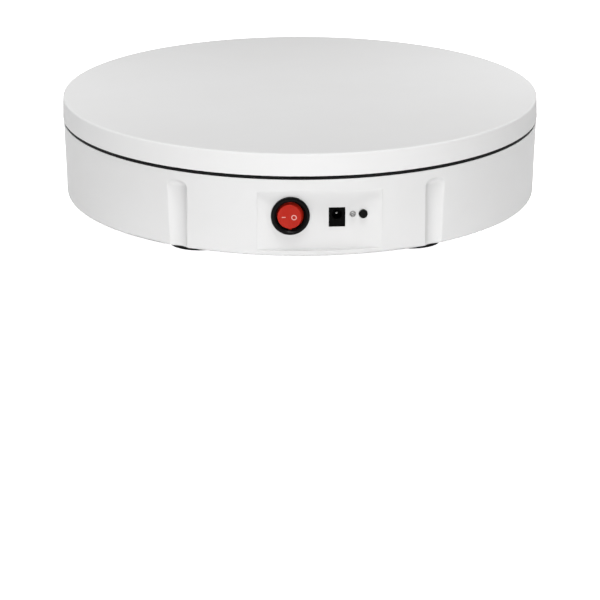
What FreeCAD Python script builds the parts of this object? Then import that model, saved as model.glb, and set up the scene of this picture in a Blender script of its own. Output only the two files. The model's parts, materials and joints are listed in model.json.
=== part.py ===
# Motorised display turntable: a drafted round base shell that carries a black chassis deck,
# and a flat platter that turns on a central spindle and six support rollers.
# Frame: +Z up, origin on the surface it stands on, under the centre. The control panel faces -Y.
import FreeCAD, Part

import math
import os

import Sketcher

doc = FreeCAD.newDocument("Turntable")
sheet = doc.addObject("Spreadsheet::Sheet", "Dims")

DRIVING_SIZES = {
    # overall stack, from the feet up
    "foot_proud": 3.0,
    "body_height": 47.3,
    "seam_height": 2.3,
    "platter_height": 13.4,
    # platter
    "platter_radius": 150.0,
    "platter_draft": 0.5,
    "plate_thickness": 3.5,
    "skirt_wall": 3.0,
    "platter_edge_round": 1.2,
    "seat_depth": 2.5,
    "hub_seat_radius": 25.0,
    "rib_width": 1.8,
    "rib_count": 12,
    # base shell
    "shell_top_inset": 0.4,
    "shell_draft": 1.1,
    "shell_wall": 2.6,
    "floor_thickness": 2.6,
    "shell_bottom_round": 2.0,
    "shell_rim_round": 0.6,
    "stations": 6,
    "station_shift": -2.95,
    "front_spread": 61.4,
    "groove_cut_radius": 9.0,
    "groove_depth": 3.4,
    "groove_top": 45.0,
    "groove_top_round": 5.0,
    "groove_lip_round": 1.2,
    # control panel
    "panel_distance": 143.8,
    "panel_width": 73.8,
    "panel_bottom": 6.6,
    "panel_top": 42.1,
    "panel_brow": 15.0,
    "panel_thickness": 2.5,
    "controls_height": 27.2,
    # rubber feet
    "foot_circle": 124.0,
    "foot_radius": 19.5,
    "foot_thickness": 4.0,
    "foot_round": 1.0,
    # chassis deck
    "deck_thickness": 2.6,
    "deck_fit": 0.4,
    "flange_height": 1.3,
    "flange_inset": 0.5,
    "flange_width": 9.0,
    "lip_gap": 2.5,
    "lip_wall": 1.8,
    "lip_height": 5.3,
    "hub_radius": 18.5,
    "hub_above": 5.5,
    "hub_below": 22.0,
    # deck posts and their screws
    "post_circle": 88.0,
    "post_radius": 4.6,
    "boss_radius": 5.6,
    "boss_top": 14.0,
    "deck_screw_radius": 1.5,
    "deck_screw_head_radius": 3.0,
    "deck_screw_head": 2.4,
    "deck_screw_length": 17.0,
    # support rollers
    "roller_circle": 117.0,
    "roller_radius": 8.0,
    "roller_width": 5.0,
    "roller_gap": 0.2,
    "axle_radius": 2.0,
    "lug_thickness": 3.0,
    "lug_width": 8.0,
    "roller_side_gap": 0.5,
    "window_length": 19.0,
    # ball bearings
    "bearing_outer_radius": 14.0,
    "bearing_bore_radius": 6.0,
    "bearing_width": 8.0,
    "ball_radius": 2.4,
    "ball_circle": 10.0,
    "ball_count": 8,
    "upper_bearing_drop": 3.5,
    "lower_bearing_drop": 20.0,
    # spindle
    "spindle_flange_radius": 22.0,
    "spindle_flange": 3.0,
    "spindle_shoulder_radius": 8.0,
    "spindle_screw_circle": 16.0,
    "washer_radius": 9.5,
    "washer_thickness": 0.7,
    "clip_thickness": 0.9,
    # drive
    "gear_module": 1.5,
    "ring_teeth": 84,
    "pinion_teeth": 18,
    "ring_height": 6.4,
    "ring_wall": 6.1,
    "pinion_height": 5.2,
    "gear_backlash": 0.16,
    "motor_radius": 25.0,
    "motor_height": 22.0,
    "motor_lid": 4.0,
    "motor_offset": 8.0,
    "motor_ear_reach": 30.0,
    "motor_ear_thickness": 1.2,
    "shaft_radius": 3.5,
    "shaft_flat": 1.0,
    "motor_screw_radius": 2.0,
    # rocker switch
    "switch_offset": -17.3,
    "bezel_radius": 11.5,
    "bezel_height": 2.3,
    "bezel_bore_radius": 8.5,
    "switch_body_radius": 10.0,
    "switch_body_depth": 13.0,
    "rocker_pivot_depth": 3.5,
    "rocker_radius": 8.0,
    "rocker_face_radius": 6.8,
    "rocker_slope": 9.0,
    "rocker_tilt": 10.0,
    "rocker_pin_radius": 1.2,
    # power jack, lamp and button
    "jack_offset": 10.2,
    "jack_width": 9.6,
    "jack_height": 11.7,
    "jack_length": 14.4,
    "jack_axis_height": 7.4,
    "jack_hole_radius": 3.15,
    "jack_pin_radius": 1.0,
    "jack_pin_depth": 3.0,
    "lamp_offset": 19.4,
    "lamp_radius": 1.75,
    "lamp_rise": 0.2,
    "button_offset": 25.6,
    "button_radius": 2.5,
    "button_proud": 1.6,
    "button_travel": 0.5,
    # circuit board
    "board_drop": 7.35,
    "board_left": 2.0,
    "board_width": 32.0,
    "board_depth": 38.0,
    "board_thickness": 1.6,
    # clearances
    "close_fit": 0.02,
    "running_fit": 0.05,
    "panel_hole_fit": 0.1,
}


class Size:
    """A length or angle worked out from the sheet: its number, and the same sum as an expression."""

    def __init__(self, value, text):
        self.value = float(value)
        self.text = text

    def __add__(self, other):
        other = size(other)
        return Size(self.value + other.value, f"({self.text} + {other.text})")

    def __sub__(self, other):
        other = size(other)
        return Size(self.value - other.value, f"({self.text} - {other.text})")

    def __mul__(self, other):
        other = size(other)
        return Size(self.value * other.value, f"({self.text} * {other.text})")

    def __truediv__(self, other):
        other = size(other)
        return Size(self.value / other.value, f"({self.text} / {other.text})")

    def __neg__(self):
        return Size(-self.value, f"(0 - {self.text})")

    __radd__ = __add__
    __rmul__ = __mul__

    def __rsub__(self, other):
        return size(other) - self


def size(amount):
    if isinstance(amount, Size):
        return amount
    return Size(amount, f"{amount}" if amount >= 0 else f"(0 - {-amount})")


def sine(angle):
    angle = size(angle)
    return Size(math.sin(math.radians(angle.value)), f"sin({angle.text})")


def cosine(angle):
    angle = size(angle)
    return Size(math.cos(math.radians(angle.value)), f"cos({angle.text})")


def tangent(angle):
    angle = size(angle)
    return Size(math.tan(math.radians(angle.value)), f"tan({angle.text})")


for row, (alias, number) in enumerate(DRIVING_SIZES.items(), start=1):
    sheet.set(f"A{row}", alias)
    sheet.set(f"B{row}", str(number))
    sheet.setAlias(f"B{row}", alias)
doc.recompute()


def dim(alias):
    return Size(DRIVING_SIZES[alias], f"Dims.{alias}")


# ---- levels and radii that several pieces share ----
floor_z = dim("foot_proud")
floor_top = floor_z + dim("floor_thickness")
rim_z = floor_z + dim("body_height")
skirt_z = rim_z + dim("seam_height")
top_z = skirt_z + dim("platter_height")
plate_z = top_z - dim("plate_thickness")
seat_z = plate_z - dim("seat_depth")
deck_under = rim_z - dim("deck_thickness")
flange_z = rim_z + dim("flange_height")

skirt_bore = dim("platter_radius") - dim("skirt_wall")
shell_top_radius = dim("platter_radius") - dim("shell_top_inset")
shell_bottom_radius = shell_top_radius - dim("shell_draft")
cavity_top_radius = shell_top_radius - dim("shell_wall")
cavity_bottom_radius = shell_bottom_radius - dim("shell_wall")
groove_centre = shell_top_radius - dim("groove_depth") + dim("groove_cut_radius")

panel_y = -dim("panel_distance")
panel_back = panel_y + dim("panel_thickness")
controls_z = dim("controls_height")
lamp_z = controls_z + dim("lamp_rise")
board_top = controls_z - dim("board_drop")
jack_z = board_top + dim("jack_axis_height")
board_under = board_top - dim("board_thickness")
board_front = panel_back + 0.8
board_right = dim("board_left") + dim("board_width")
board_back = board_front + dim("board_depth")

roller_z = seat_z - dim("roller_gap") - dim("roller_radius")
upper_bearing_z = rim_z - dim("upper_bearing_drop")
lower_bearing_z = rim_z - dim("lower_bearing_drop")
hub_top = rim_z + dim("hub_above")
hub_bottom = rim_z - dim("hub_below")

ring_pitch = dim("gear_module") * dim("ring_teeth") / 2
pinion_pitch = dim("gear_module") * dim("pinion_teeth") / 2
ring_root = ring_pitch + dim("gear_module") * 1.25
ring_radius = ring_root + dim("ring_wall")
ring_z = seat_z - dim("ring_height")
ring_screw_circle = ring_root + dim("ring_wall") * 0.52
pinion_y = ring_pitch - pinion_pitch
pinion_z = ring_z + 0.6
motor_y = pinion_y + dim("motor_offset")
motor_z = deck_under - dim("motor_height")
motor_lid_z = deck_under - dim("motor_lid")

STATIONS = int(DRIVING_SIZES["stations"])
STATION_PITCH = 360 / STATIONS
OUTWARD = FreeCAD.Rotation(FreeCAD.Vector(1, 0, 0), 90)  # turns local +Z to -Y, out of the panel

named = {}  # node name: the object that becomes its STEP file


# ---- small helpers ----
def bind(thing, prop, amount):
    thing.setExpression(prop, size(amount).text)


def seat(thing, x=0, y=0, z=0, turn=None):
    """Puts a thing at a place that follows the sheet, with a fixed turn."""
    x, y, z = size(x), size(y), size(z)
    base = FreeCAD.Vector(x.value, y.value, z.value)
    thing.Placement = FreeCAD.Placement(base, turn or FreeCAD.Rotation())
    for axis, amount in (("x", x), ("y", y), ("z", z)):
        bind(thing, f"Placement.Base.{axis}", amount)
    return thing


def cylinder(name, radius, height, x=0, y=0, z=0, turn=None):
    made = doc.addObject("Part::Cylinder", name)
    bind(made, "Radius", radius)
    bind(made, "Height", height)
    return seat(made, x, y, z, turn)


def cone(name, low_radius, high_radius, height, x=0, y=0, z=0, turn=None):
    made = doc.addObject("Part::Cone", name)
    bind(made, "Radius1", low_radius)
    bind(made, "Radius2", high_radius)
    bind(made, "Height", height)
    return seat(made, x, y, z, turn)


def block(name, length, width, height, x=0, y=0, z=0, turn=None):
    made = doc.addObject("Part::Box", name)
    bind(made, "Length", length)
    bind(made, "Width", width)
    bind(made, "Height", height)
    return seat(made, x, y, z, turn)


def ball(name, radius, x=0, y=0, z=0):
    made = doc.addObject("Part::Sphere", name)
    bind(made, "Radius", radius)
    return seat(made, x, y, z)


def torus(name, circle, radius, z=0):
    made = doc.addObject("Part::Torus", name)
    bind(made, "Radius1", circle)
    bind(made, "Radius2", radius)
    return seat(made, 0, 0, z)


def fused(name, *things):
    made = doc.addObject("Part::MultiFuse", name)
    made.Shapes = list(things)
    return made


def grouped(name, *things):
    """Several separate solids in one node."""
    made = doc.addObject("Part::Compound", name)
    made.Links = list(things)
    return made


def cut(name, base, *tools):
    made = doc.addObject("Part::Cut", name)
    made.Base = base
    made.Tool = tools[0] if len(tools) == 1 else fused(name + "_tools", *tools)
    return made


def tube(name, radius, bore, height, x=0, y=0, z=0, turn=None):
    outer = cylinder(name + "_outer", radius, height, x, y, z, turn)
    inner = cylinder(name + "_bore", bore, height, x, y, z, turn)
    return cut(name, outer, inner)


def rounded(name, base, radius, pick):
    """Rounds the edges of a thing that pick chooses."""
    doc.recompute()
    chosen = [n for n, edge in enumerate(base.Shape.Edges, start=1) if pick(edge)]
    made = doc.addObject("Part::Fillet", name)
    made.Base = base
    made.Edges = [(n, radius.value, radius.value) for n in chosen]
    return made


def node(name, thing):
    thing.Label = name
    named[name] = thing
    return thing


def around(radius, azimuth):
    """X and Y of a place at that radius. Azimuth 0 is the front, and it grows towards +X."""
    return radius * sine(azimuth), -(radius * cosine(azimuth))


def station_azimuth(index):
    return dim("station_shift") + STATION_PITCH / 2 + STATION_PITCH * index


def grip_azimuth(index):
    """The grooves and feet: as the stations, but the front and rear pairs stand a little further apart."""
    push = (dim("front_spread") - STATION_PITCH) / 2
    side = cosine(STATION_PITCH / 2 + STATION_PITCH * index) / math.cos(math.radians(STATION_PITCH / 2))
    hand = -1 if 180 < STATION_PITCH / 2 + STATION_PITCH * index else 1
    return station_azimuth(index) + push * side * hand


def is_circle_at(height, least_radius=0.0):
    def pick(edge):
        curve = edge.Curve
        round_edge = isinstance(curve, Part.Circle) and curve.Radius >= least_radius
        return round_edge and abs(edge.BoundBox.ZMin - height.value) < 1e-4
    return pick


def is_groove_lip(edge):
    """An edge where a groove runs out through the drafted outside of the shell."""
    box = edge.BoundBox
    if box.ZMax - box.ZMin < 1:
        return False
    middle = edge.valueAt((edge.FirstParameter + edge.LastParameter) / 2)
    if math.hypot(middle.x, middle.y) < shell_bottom_radius.value - 0.01 or box.ZMin < floor_z.value + 1:
        return False
    centres = [around(groove_centre, grip_azimuth(n)) for n in range(STATIONS)]
    reach = DRIVING_SIZES["groove_cut_radius"] + 0.01
    return any(math.hypot(middle.x - x.value, middle.y - y.value) < reach for x, y in centres)


# ---- PartDesign helpers ----
def new_body(name):
    return doc.addObject("PartDesign::Body", name)


def origin_plane(body, role):
    return next(o for o in body.Origin.OriginFeatures if o.Role == role)


def new_sketch(body, name, role, offset=0):
    sketch = body.newObject("Sketcher::SketchObject", name)
    sketch.AttachmentSupport = [(origin_plane(body, role), "")]
    sketch.MapMode = "FlatFace"
    if isinstance(offset, Size):
        bind(sketch, "AttachmentOffset.Base.z", offset)
    return sketch


def polygon(sketch, corners):
    """A closed outline whose corners are tied to the sheet."""
    corners = [(size(x), size(y)) for x, y in corners]
    first = sketch.GeometryCount
    count = len(corners)
    points = [FreeCAD.Vector(x.value, y.value, 0) for x, y in corners]
    for n in range(count):
        sketch.addGeometry(Part.LineSegment(points[n], points[(n + 1) % count]))
    for n in range(count):
        sketch.addConstraint(Sketcher.Constraint("Coincident", first + n, 2, first + (n + 1) % count, 1))
    for n, (x, y) in enumerate(corners):
        for kind, amount in (("DistanceX", x), ("DistanceY", y)):
            held = sketch.addConstraint(Sketcher.Constraint(kind, -1, 1, first + n, 1, amount.value))
            sketch.setExpression(f"Constraints[{held}]", amount.text)


def circle(sketch, radius, x=0, y=0):
    radius, x, y = size(radius), size(x), size(y)
    middle = FreeCAD.Vector(x.value, y.value, 0)
    made = sketch.addGeometry(Part.Circle(middle, FreeCAD.Vector(0, 0, 1), radius.value))
    held = sketch.addConstraint(Sketcher.Constraint("Radius", made, radius.value))
    sketch.setExpression(f"Constraints[{held}]", radius.text)
    for kind, amount in (("DistanceX", x), ("DistanceY", y)):
        held = sketch.addConstraint(Sketcher.Constraint(kind, -1, 1, made, 3, amount.value))
        sketch.setExpression(f"Constraints[{held}]", amount.text)


def rectangle(sketch, left, right, low, high):
    polygon(sketch, [(left, low), (right, low), (right, high), (left, high)])


def revolve(body, name, corners):
    """Turns an outline of (radius, height) corners about the body's own Z axis."""
    sketch = new_sketch(body, name + "_outline", "XZ_Plane")
    polygon(sketch, corners)
    made = body.newObject("PartDesign::Revolution", name)
    made.Profile = sketch
    made.ReferenceAxis = (sketch, ["V_Axis"])
    made.Angle = 360
    return made


def pad(body, name, draw, height, level):
    """Adds a prism that stands on the given level."""
    sketch = new_sketch(body, name + "_outline", "XY_Plane", size(level))
    draw(sketch)
    made = body.newObject("PartDesign::Pad", name)
    made.Profile = sketch
    bind(made, "Length", height)
    return made


def pocket(body, name, draw, depth, level):
    """Cuts downwards from the given level."""
    sketch = new_sketch(body, name + "_outline", "XY_Plane", size(level))
    draw(sketch)
    made = body.newObject("PartDesign::Pocket", name)
    made.Profile = sketch
    bind(made, "Length", depth)
    return made


def repeat_round(body, feature, count, name):
    made = body.newObject("PartDesign::PolarPattern", name)
    made.Originals = [feature]
    made.Axis = (feature.Profile[0], ["N_Axis"])
    made.Angle = 360
    made.Occurrences = int(count.value)
    bind(made, "Occurrences", count)
    body.Tip = made
    return made


# ---- base shell ----
def make_base_shell():
    height = dim("body_height")
    outer = cone("shell_outside", shell_bottom_radius, shell_top_radius, height, z=floor_z)
    outer = rounded("shell_outside_round", outer, dim("shell_bottom_round"), is_circle_at(floor_z))
    cavity_height = rim_z - floor_top
    cavity = cone("shell_inside", cavity_bottom_radius, cavity_top_radius, cavity_height + 0.001, z=floor_top)
    seat_rebate = cylinder(
        "deck_rebate", cavity_top_radius, dim("deck_thickness") + 0.001, z=deck_under
    )
    backs, grooves, bosses, holes = [], [], [], []
    for n in range(STATIONS):
        x, y = around(groove_centre, grip_azimuth(n))
        cutter = cylinder(f"groove_{n}", dim("groove_cut_radius"), dim("groove_top"), x, y)
        grooves.append(
            rounded(f"groove_round_{n}", cutter, dim("groove_top_round"), is_circle_at(dim("groove_top")))
        )
        backs.append(
            cylinder(f"groove_back_{n}", dim("groove_cut_radius") + dim("shell_wall"), deck_under - 0.3, x, y)
        )
        x, y = around(dim("post_circle"), station_azimuth(n))
        bosses.append(cylinder(f"boss_{n}", dim("boss_radius"), dim("boss_top") - floor_top, x, y, floor_top))
        head_room = dim("deck_screw_head_radius") + 0.25
        holes.append(cylinder(f"screw_sink_{n}", head_room, dim("boss_top") - 4 - floor_z, x, y, floor_z))
        holes.append(cylinder(f"screw_way_{n}", dim("deck_screw_radius") + 0.2, 12, x, y, floor_z))
        x, y = around(dim("foot_circle"), grip_azimuth(n))
        sink = dim("foot_thickness") - dim("foot_proud")
        holes.append(cylinder(f"foot_seat_{n}", dim("foot_radius") + 0.2, sink, x, y, floor_z))
    panel_half = dim("panel_width") / 2
    wall = dim("shell_wall")
    backing = block(
        "panel_backing", dim("panel_width") + wall * 2, 20, dim("panel_top") + wall + 1,
        -panel_half - wall, panel_back - 20,
    )
    recess = block(
        "panel_recess", dim("panel_width"), 12, dim("panel_top") - dim("panel_bottom"),
        -panel_half, panel_y - 12, dim("panel_bottom"),
    )
    # the ceiling of the recess rises outwards: a tilted block is hung from its inner edge
    slope = DRIVING_SIZES["panel_brow"]
    hung = 6
    turn = FreeCAD.Rotation(FreeCAD.Vector(1, 0, 0), -slope) * FreeCAD.Rotation(FreeCAD.Vector(0, 0, 1), 180)
    brow = block(
        "panel_brow_block", dim("panel_width"), 12, hung, panel_half,
        panel_y - hung * sine(dim("panel_brow")), dim("panel_top") - hung * cosine(dim("panel_brow")), turn,
    )
    # openings through the panel
    hole_fit = dim("panel_hole_fit")
    deep = dim("panel_thickness") + 4
    hole_y = panel_back + 2
    holes += [
        cylinder("switch_hole", dim("switch_body_radius") + hole_fit, deep, dim("switch_offset"), hole_y,
                 controls_z, OUTWARD),
        cylinder("lamp_hole", dim("lamp_radius") + hole_fit, deep, dim("lamp_offset"), hole_y,
                 lamp_z, OUTWARD),
        cylinder("button_hole", dim("button_radius") + hole_fit * 2, deep, dim("button_offset"), hole_y,
                 lamp_z, OUTWARD),
        block("jack_hole", dim("jack_width") + hole_fit * 2, deep, dim("jack_height") + hole_fit * 2,
              dim("jack_offset") - dim("jack_width") / 2 - hole_fit, hole_y - deep, board_top - hole_fit),
    ]
    hollow = cut("shell_hollow", cavity, backing, *backs)
    hollow = fused("shell_hollow_and_rebate", hollow, seat_rebate)
    grooved = cut("shell_grooved", outer, *grooves)
    softened = rounded("shell_groove_lips", grooved, dim("groove_lip_round"), is_groove_lip)
    walls = cut("shell_walls", softened, hollow, recess, brow)
    posts = []
    for side, x in (("left", dim("board_left") + 3), ("right", board_right - 3)):
        for end, y in (("front", board_front + 14.5), ("rear", board_back - 3.5)):
            posts.append(cylinder(f"board_post_{side}_{end}", 2.6, board_under - floor_top, x, y, floor_top))
            holes.append(cylinder(f"board_pilot_{side}_{end}", 1.02, 8, x, y, board_under - 8))
    shell = fused("shell_with_bosses", walls, *bosses, *posts)
    node("base_shell", cut("shell_drilled", shell, *holes))


# ---- rubber feet ----
def make_feet():
    for n in range(STATIONS):
        body = new_body(f"foot_body_{n}")
        dish = 0.5
        revolve(body, f"foot_{n}", [
            (0, dish),
            (dim("foot_radius") * 0.45, dish),
            (dim("foot_radius") * 0.5, 0),
            (dim("foot_radius") - dim("foot_round"), 0),
            (dim("foot_radius"), dim("foot_round")),
            (dim("foot_radius"), dim("foot_thickness")),
            (0, dim("foot_thickness")),
        ])
        x, y = around(dim("foot_circle"), grip_azimuth(n))
        seat(body, x, y, 0)
        node(f"rubber_foot_{n + 1}", body)


# ---- chassis deck: plate, flange on the shell's rim, dust lip, bearing hub, posts and roller lugs ----
def make_deck():
    body = new_body("deck_body")
    lip_outer = skirt_bore - dim("lip_gap")
    lip_inner = lip_outer - dim("lip_wall")
    flange_outer = shell_top_radius - dim("flange_inset")
    flange_inner = flange_outer - dim("flange_width")
    spigot = cavity_top_radius - dim("deck_fit")
    bore = dim("bearing_outer_radius") + dim("close_fit")
    land = dim("bearing_outer_radius") - 2
    upper_top = upper_bearing_z + dim("bearing_width")
    lower_top = lower_bearing_z + dim("bearing_width")
    revolve(body, "deck_turned", [
        (land, lower_top), (bore, lower_top), (bore, hub_bottom), (dim("hub_radius"), hub_bottom),
        (dim("hub_radius"), deck_under), (spigot, deck_under), (spigot, rim_z), (flange_outer, rim_z),
        (flange_outer, flange_z), (lip_outer, flange_z), (lip_outer, rim_z + dim("lip_height")),
        (lip_inner, rim_z + dim("lip_height")), (lip_inner, flange_z), (flange_inner, flange_z),
        (flange_inner, rim_z), (dim("hub_radius"), rim_z), (dim("hub_radius"), hub_top),
        (bore, hub_top), (bore, upper_bearing_z), (land, upper_bearing_z),
    ])
    stations = dim("stations")
    post_height = deck_under - dim("boss_top") + 0.5
    post = pad(body, "post", lambda s: circle(s, dim("post_radius"), dim("post_circle")),
               post_height, dim("boss_top"))
    repeat_round(body, post, stations, "posts")
    pilot_depth = dim("deck_screw_length") + 1
    pilot = pocket(
        body, "post_pilot",
        lambda s: circle(s, dim("deck_screw_radius") + dim("close_fit"), dim("post_circle")),
        pilot_depth, dim("boss_top") + pilot_depth,
    )
    repeat_round(body, pilot, stations, "post_pilots")
    # a pair of lugs either side of each roller, and the window that it runs in
    near = dim("roller_width") / 2 + dim("roller_side_gap")
    far = near + dim("lug_thickness")
    centre = dim("roller_circle")
    half = dim("lug_width") / 2
    for side, low, high in (("inner", centre - far, centre - near), ("outer", centre + near, centre + far)):
        lug = pad(
            body, f"lug_{side}", lambda s, a=low, b=high: rectangle(s, a, b, -half, half),
            roller_z + dim("axle_radius") + 1.6 - rim_z + 0.5, rim_z - 0.5,
        )
        repeat_round(body, lug, stations, f"lugs_{side}")
    window = pocket(
        body, "roller_window",
        lambda s: rectangle(s, centre - near, centre + near,
                            -(dim("window_length") / 2), dim("window_length") / 2),
        dim("deck_thickness") + 2, rim_z + 1,
    )
    repeat_round(body, window, stations, "roller_windows")
    # the axle's bore, drilled along the local X axis through both lugs
    sketch = new_sketch(body, "axle_bore_outline", "YZ_Plane", centre - far - 1)
    circle(sketch, dim("axle_radius") + dim("close_fit"), 0, roller_z)
    bore_cut = body.newObject("PartDesign::Pocket", "axle_bore")
    bore_cut.Profile = sketch
    bore_cut.Reversed = True
    bind(bore_cut, "Length", far * 2 + 2)
    pattern = body.newObject("PartDesign::PolarPattern", "axle_bores")
    pattern.Originals = [bore_cut]
    pattern.Axis = (post.Profile[0], ["N_Axis"])
    pattern.Angle = 360
    bind(pattern, "Occurrences", stations)
    pattern.Occurrences = STATIONS
    body.Tip = pattern
    # openings for the motor's shaft and its two screws, on the line from the centre to the rear
    rear = 90 - (dim("station_shift") - 90 + STATION_PITCH / 2)
    for name, distance, radius in (
        ("shaft_way", pinion_y, dim("shaft_radius") + 1.5),
        ("motor_screw_way_near", motor_y - dim("motor_ear_reach"), dim("motor_screw_radius") + 0.1),
        ("motor_screw_way_far", motor_y + dim("motor_ear_reach"), dim("motor_screw_radius") + 0.1),
    ):
        x, y = distance * cosine(rear), distance * sine(rear)
        pocket(body, name, lambda s, r=radius, a=x, b=y: circle(s, r, a, b),
               dim("deck_thickness") + 2, rim_z + 1)
    body.Placement.Rotation = FreeCAD.Rotation(
        FreeCAD.Vector(0, 0, 1), DRIVING_SIZES["station_shift"] - 90 + STATION_PITCH / 2
    )
    node("chassis_deck", body)


def cross_recess(name, radius, depth, x, y, z):
    """The cross slot of a screw head, to be cut from it."""
    wide = radius * 1.2
    narrow = radius * 0.28
    first = block(name + "_a", wide, narrow, depth, x - wide / 2, y - narrow / 2, z)
    second = block(name + "_b", narrow, wide, depth, x - narrow / 2, y - wide / 2, z)
    return fused(name, first, second)


def screw(name, radius, length, head_radius, head, x, y, z, head_up):
    """A pan-head screw. z is the level of the face under its head."""
    if head_up:
        shank = cylinder(name + "_shank", radius, length, x, y, z - length)
        top = cylinder(name + "_head", head_radius, head, x, y, z)
        slot = cross_recess(name + "_slot", head_radius, head * 0.5, x, y, z + head * 0.5)
    else:
        shank = cylinder(name + "_shank", radius, length, x, y, z)
        top = cylinder(name + "_head", head_radius, head, x, y, z - head)
        slot = cross_recess(name + "_slot", head_radius, head * 0.5, x, y, z - head)
    return cut(name, fused(name + "_blank", shank, top), slot)


def make_deck_screws():
    made = []
    for n in range(STATIONS):
        x, y = around(dim("post_circle"), station_azimuth(n))
        under_head = dim("boss_top") - 4
        made.append(screw(
            f"deck_screw_{n}", dim("deck_screw_radius"), dim("deck_screw_length"),
            dim("deck_screw_head_radius"), dim("deck_screw_head"), x, y, under_head, False,
        ))
    node("deck_screws", grouped("deck_screw_set", *made))


# ---- support rollers on steel axles ----
def radial_turn(index):
    """Turns local +Z to point outwards at that station."""
    azimuth = math.radians(station_azimuth(index).value)
    outwards = FreeCAD.Vector(math.sin(azimuth), -math.cos(azimuth), 0)
    return FreeCAD.Rotation(FreeCAD.Vector(0, 0, 1), outwards)


def make_rollers():
    axles = []
    half_axle = dim("roller_width") / 2 + dim("roller_side_gap") + dim("lug_thickness")
    for n in range(STATIONS):
        azimuth = station_azimuth(n)
        x, y = around(dim("roller_circle") - half_axle, azimuth)
        axles.append(cylinder(f"axle_{n}", dim("axle_radius"), half_axle * 2, x, y, roller_z, radial_turn(n)))
        body = new_body(f"roller_body_{n}")
        half = dim("roller_width") / 2
        bore = dim("axle_radius") + dim("running_fit")
        edge = 0.6
        revolve(body, f"roller_{n}", [
            (bore, -half), (dim("roller_radius") - edge, -half), (dim("roller_radius"), -half + edge),
            (dim("roller_radius"), half - edge), (dim("roller_radius") - edge, half), (bore, half),
        ])
        x, y = around(dim("roller_circle"), azimuth)
        seat(body, x, y, roller_z, radial_turn(n))
        node(f"support_roller_{n + 1}", body)
    node("roller_axles", grouped("roller_axle_set", *axles))


# ---- platter ----
def make_platter():
    body = new_body("platter_body")
    rim = dim("platter_radius")
    revolve(body, "platter_turned", [
        (0, seat_z), (dim("hub_seat_radius"), seat_z), (dim("hub_seat_radius"), plate_z),
        (ring_root - 3, plate_z), (ring_root - 3, seat_z),
        (ring_radius + 2, seat_z), (ring_radius + 2, plate_z),
        (dim("roller_circle") - dim("roller_width"), plate_z),
        (dim("roller_circle") - dim("roller_width"), seat_z),
        (dim("roller_circle") + dim("roller_width"), seat_z),
        (dim("roller_circle") + dim("roller_width"), plate_z),
        (skirt_bore, plate_z), (skirt_bore, skirt_z), (rim, skirt_z), (rim - dim("platter_draft"), top_z),
        (0, top_z),
    ])
    rib = pad(
        body, "rib",
        lambda s: rectangle(s, dim("hub_seat_radius") - 1, skirt_bore + 0.5, -(dim("rib_width") / 2),
                            dim("rib_width") / 2),
        dim("seat_depth") - 0.6 + 0.5, seat_z + 0.6,
    )
    repeat_round(body, rib, dim("rib_count"), "ribs")
    ring_hole = pocket(
        body, "ring_pilot",
        lambda s: circle(s, 1.5 + dim("close_fit"),
                         ring_screw_circle * cosine(15), ring_screw_circle * sine(15)),
        4.4 + 1, seat_z + 4.4,
    )
    repeat_round(body, ring_hole, dim("stations"), "ring_pilots")
    hub_hole = pocket(
        body, "hub_pilot",
        lambda s: circle(s, 1.5 + dim("close_fit"), dim("spindle_screw_circle") * cosine(15),
                         dim("spindle_screw_circle") * sine(15)),
        4.4 + 1, seat_z + 4.4,
    )
    repeat_round(body, hub_hole, size(4), "hub_pilots")
    doc.recompute()
    last = body.Tip
    edges = [f"Edge{n}" for n, e in enumerate(last.Shape.Edges, start=1) if is_circle_at(top_z, 100)(e)]
    top_round = body.newObject("PartDesign::Fillet", "platter_top_round")
    top_round.Base = (last, edges)
    bind(top_round, "Radius", dim("platter_edge_round"))
    node("platter", body)


# ---- ring gear and pinion: involute teeth, 20 degree pressure angle ----
def gear_outline(teeth, module, tip, root, half_tooth):
    """A closed wire of an external gear with a tooth on +Y.

    half_tooth is half the tooth's thickness on the pitch circle."""
    pitch = module * teeth / 2
    base = pitch * math.cos(math.radians(20))
    steps = 4

    def roll(radius):
        ratio = min(1.0, base / radius)
        return math.tan(math.acos(ratio)) - math.acos(ratio)

    start = max(root, base)
    radii = [start + (tip - start) * k / steps for k in range(steps + 1)]
    flank = [(r, half_tooth / pitch + roll(pitch) - roll(r)) for r in radii]
    if root < base:
        flank.insert(0, (root, flank[0][1]))
    points = []
    for n in range(teeth):
        middle = math.pi / 2 + 2 * math.pi * n / teeth
        for r, a in flank:
            points.append((r, middle - a))
        for r, a in reversed(flank):
            points.append((r, middle + a))
    corners = [FreeCAD.Vector(r * math.cos(a), r * math.sin(a), 0) for r, a in points]
    return Part.makePolygon(corners + corners[:1])


def half_tooth_at_pitch(module, change):
    return math.pi * module / 4 + change


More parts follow.
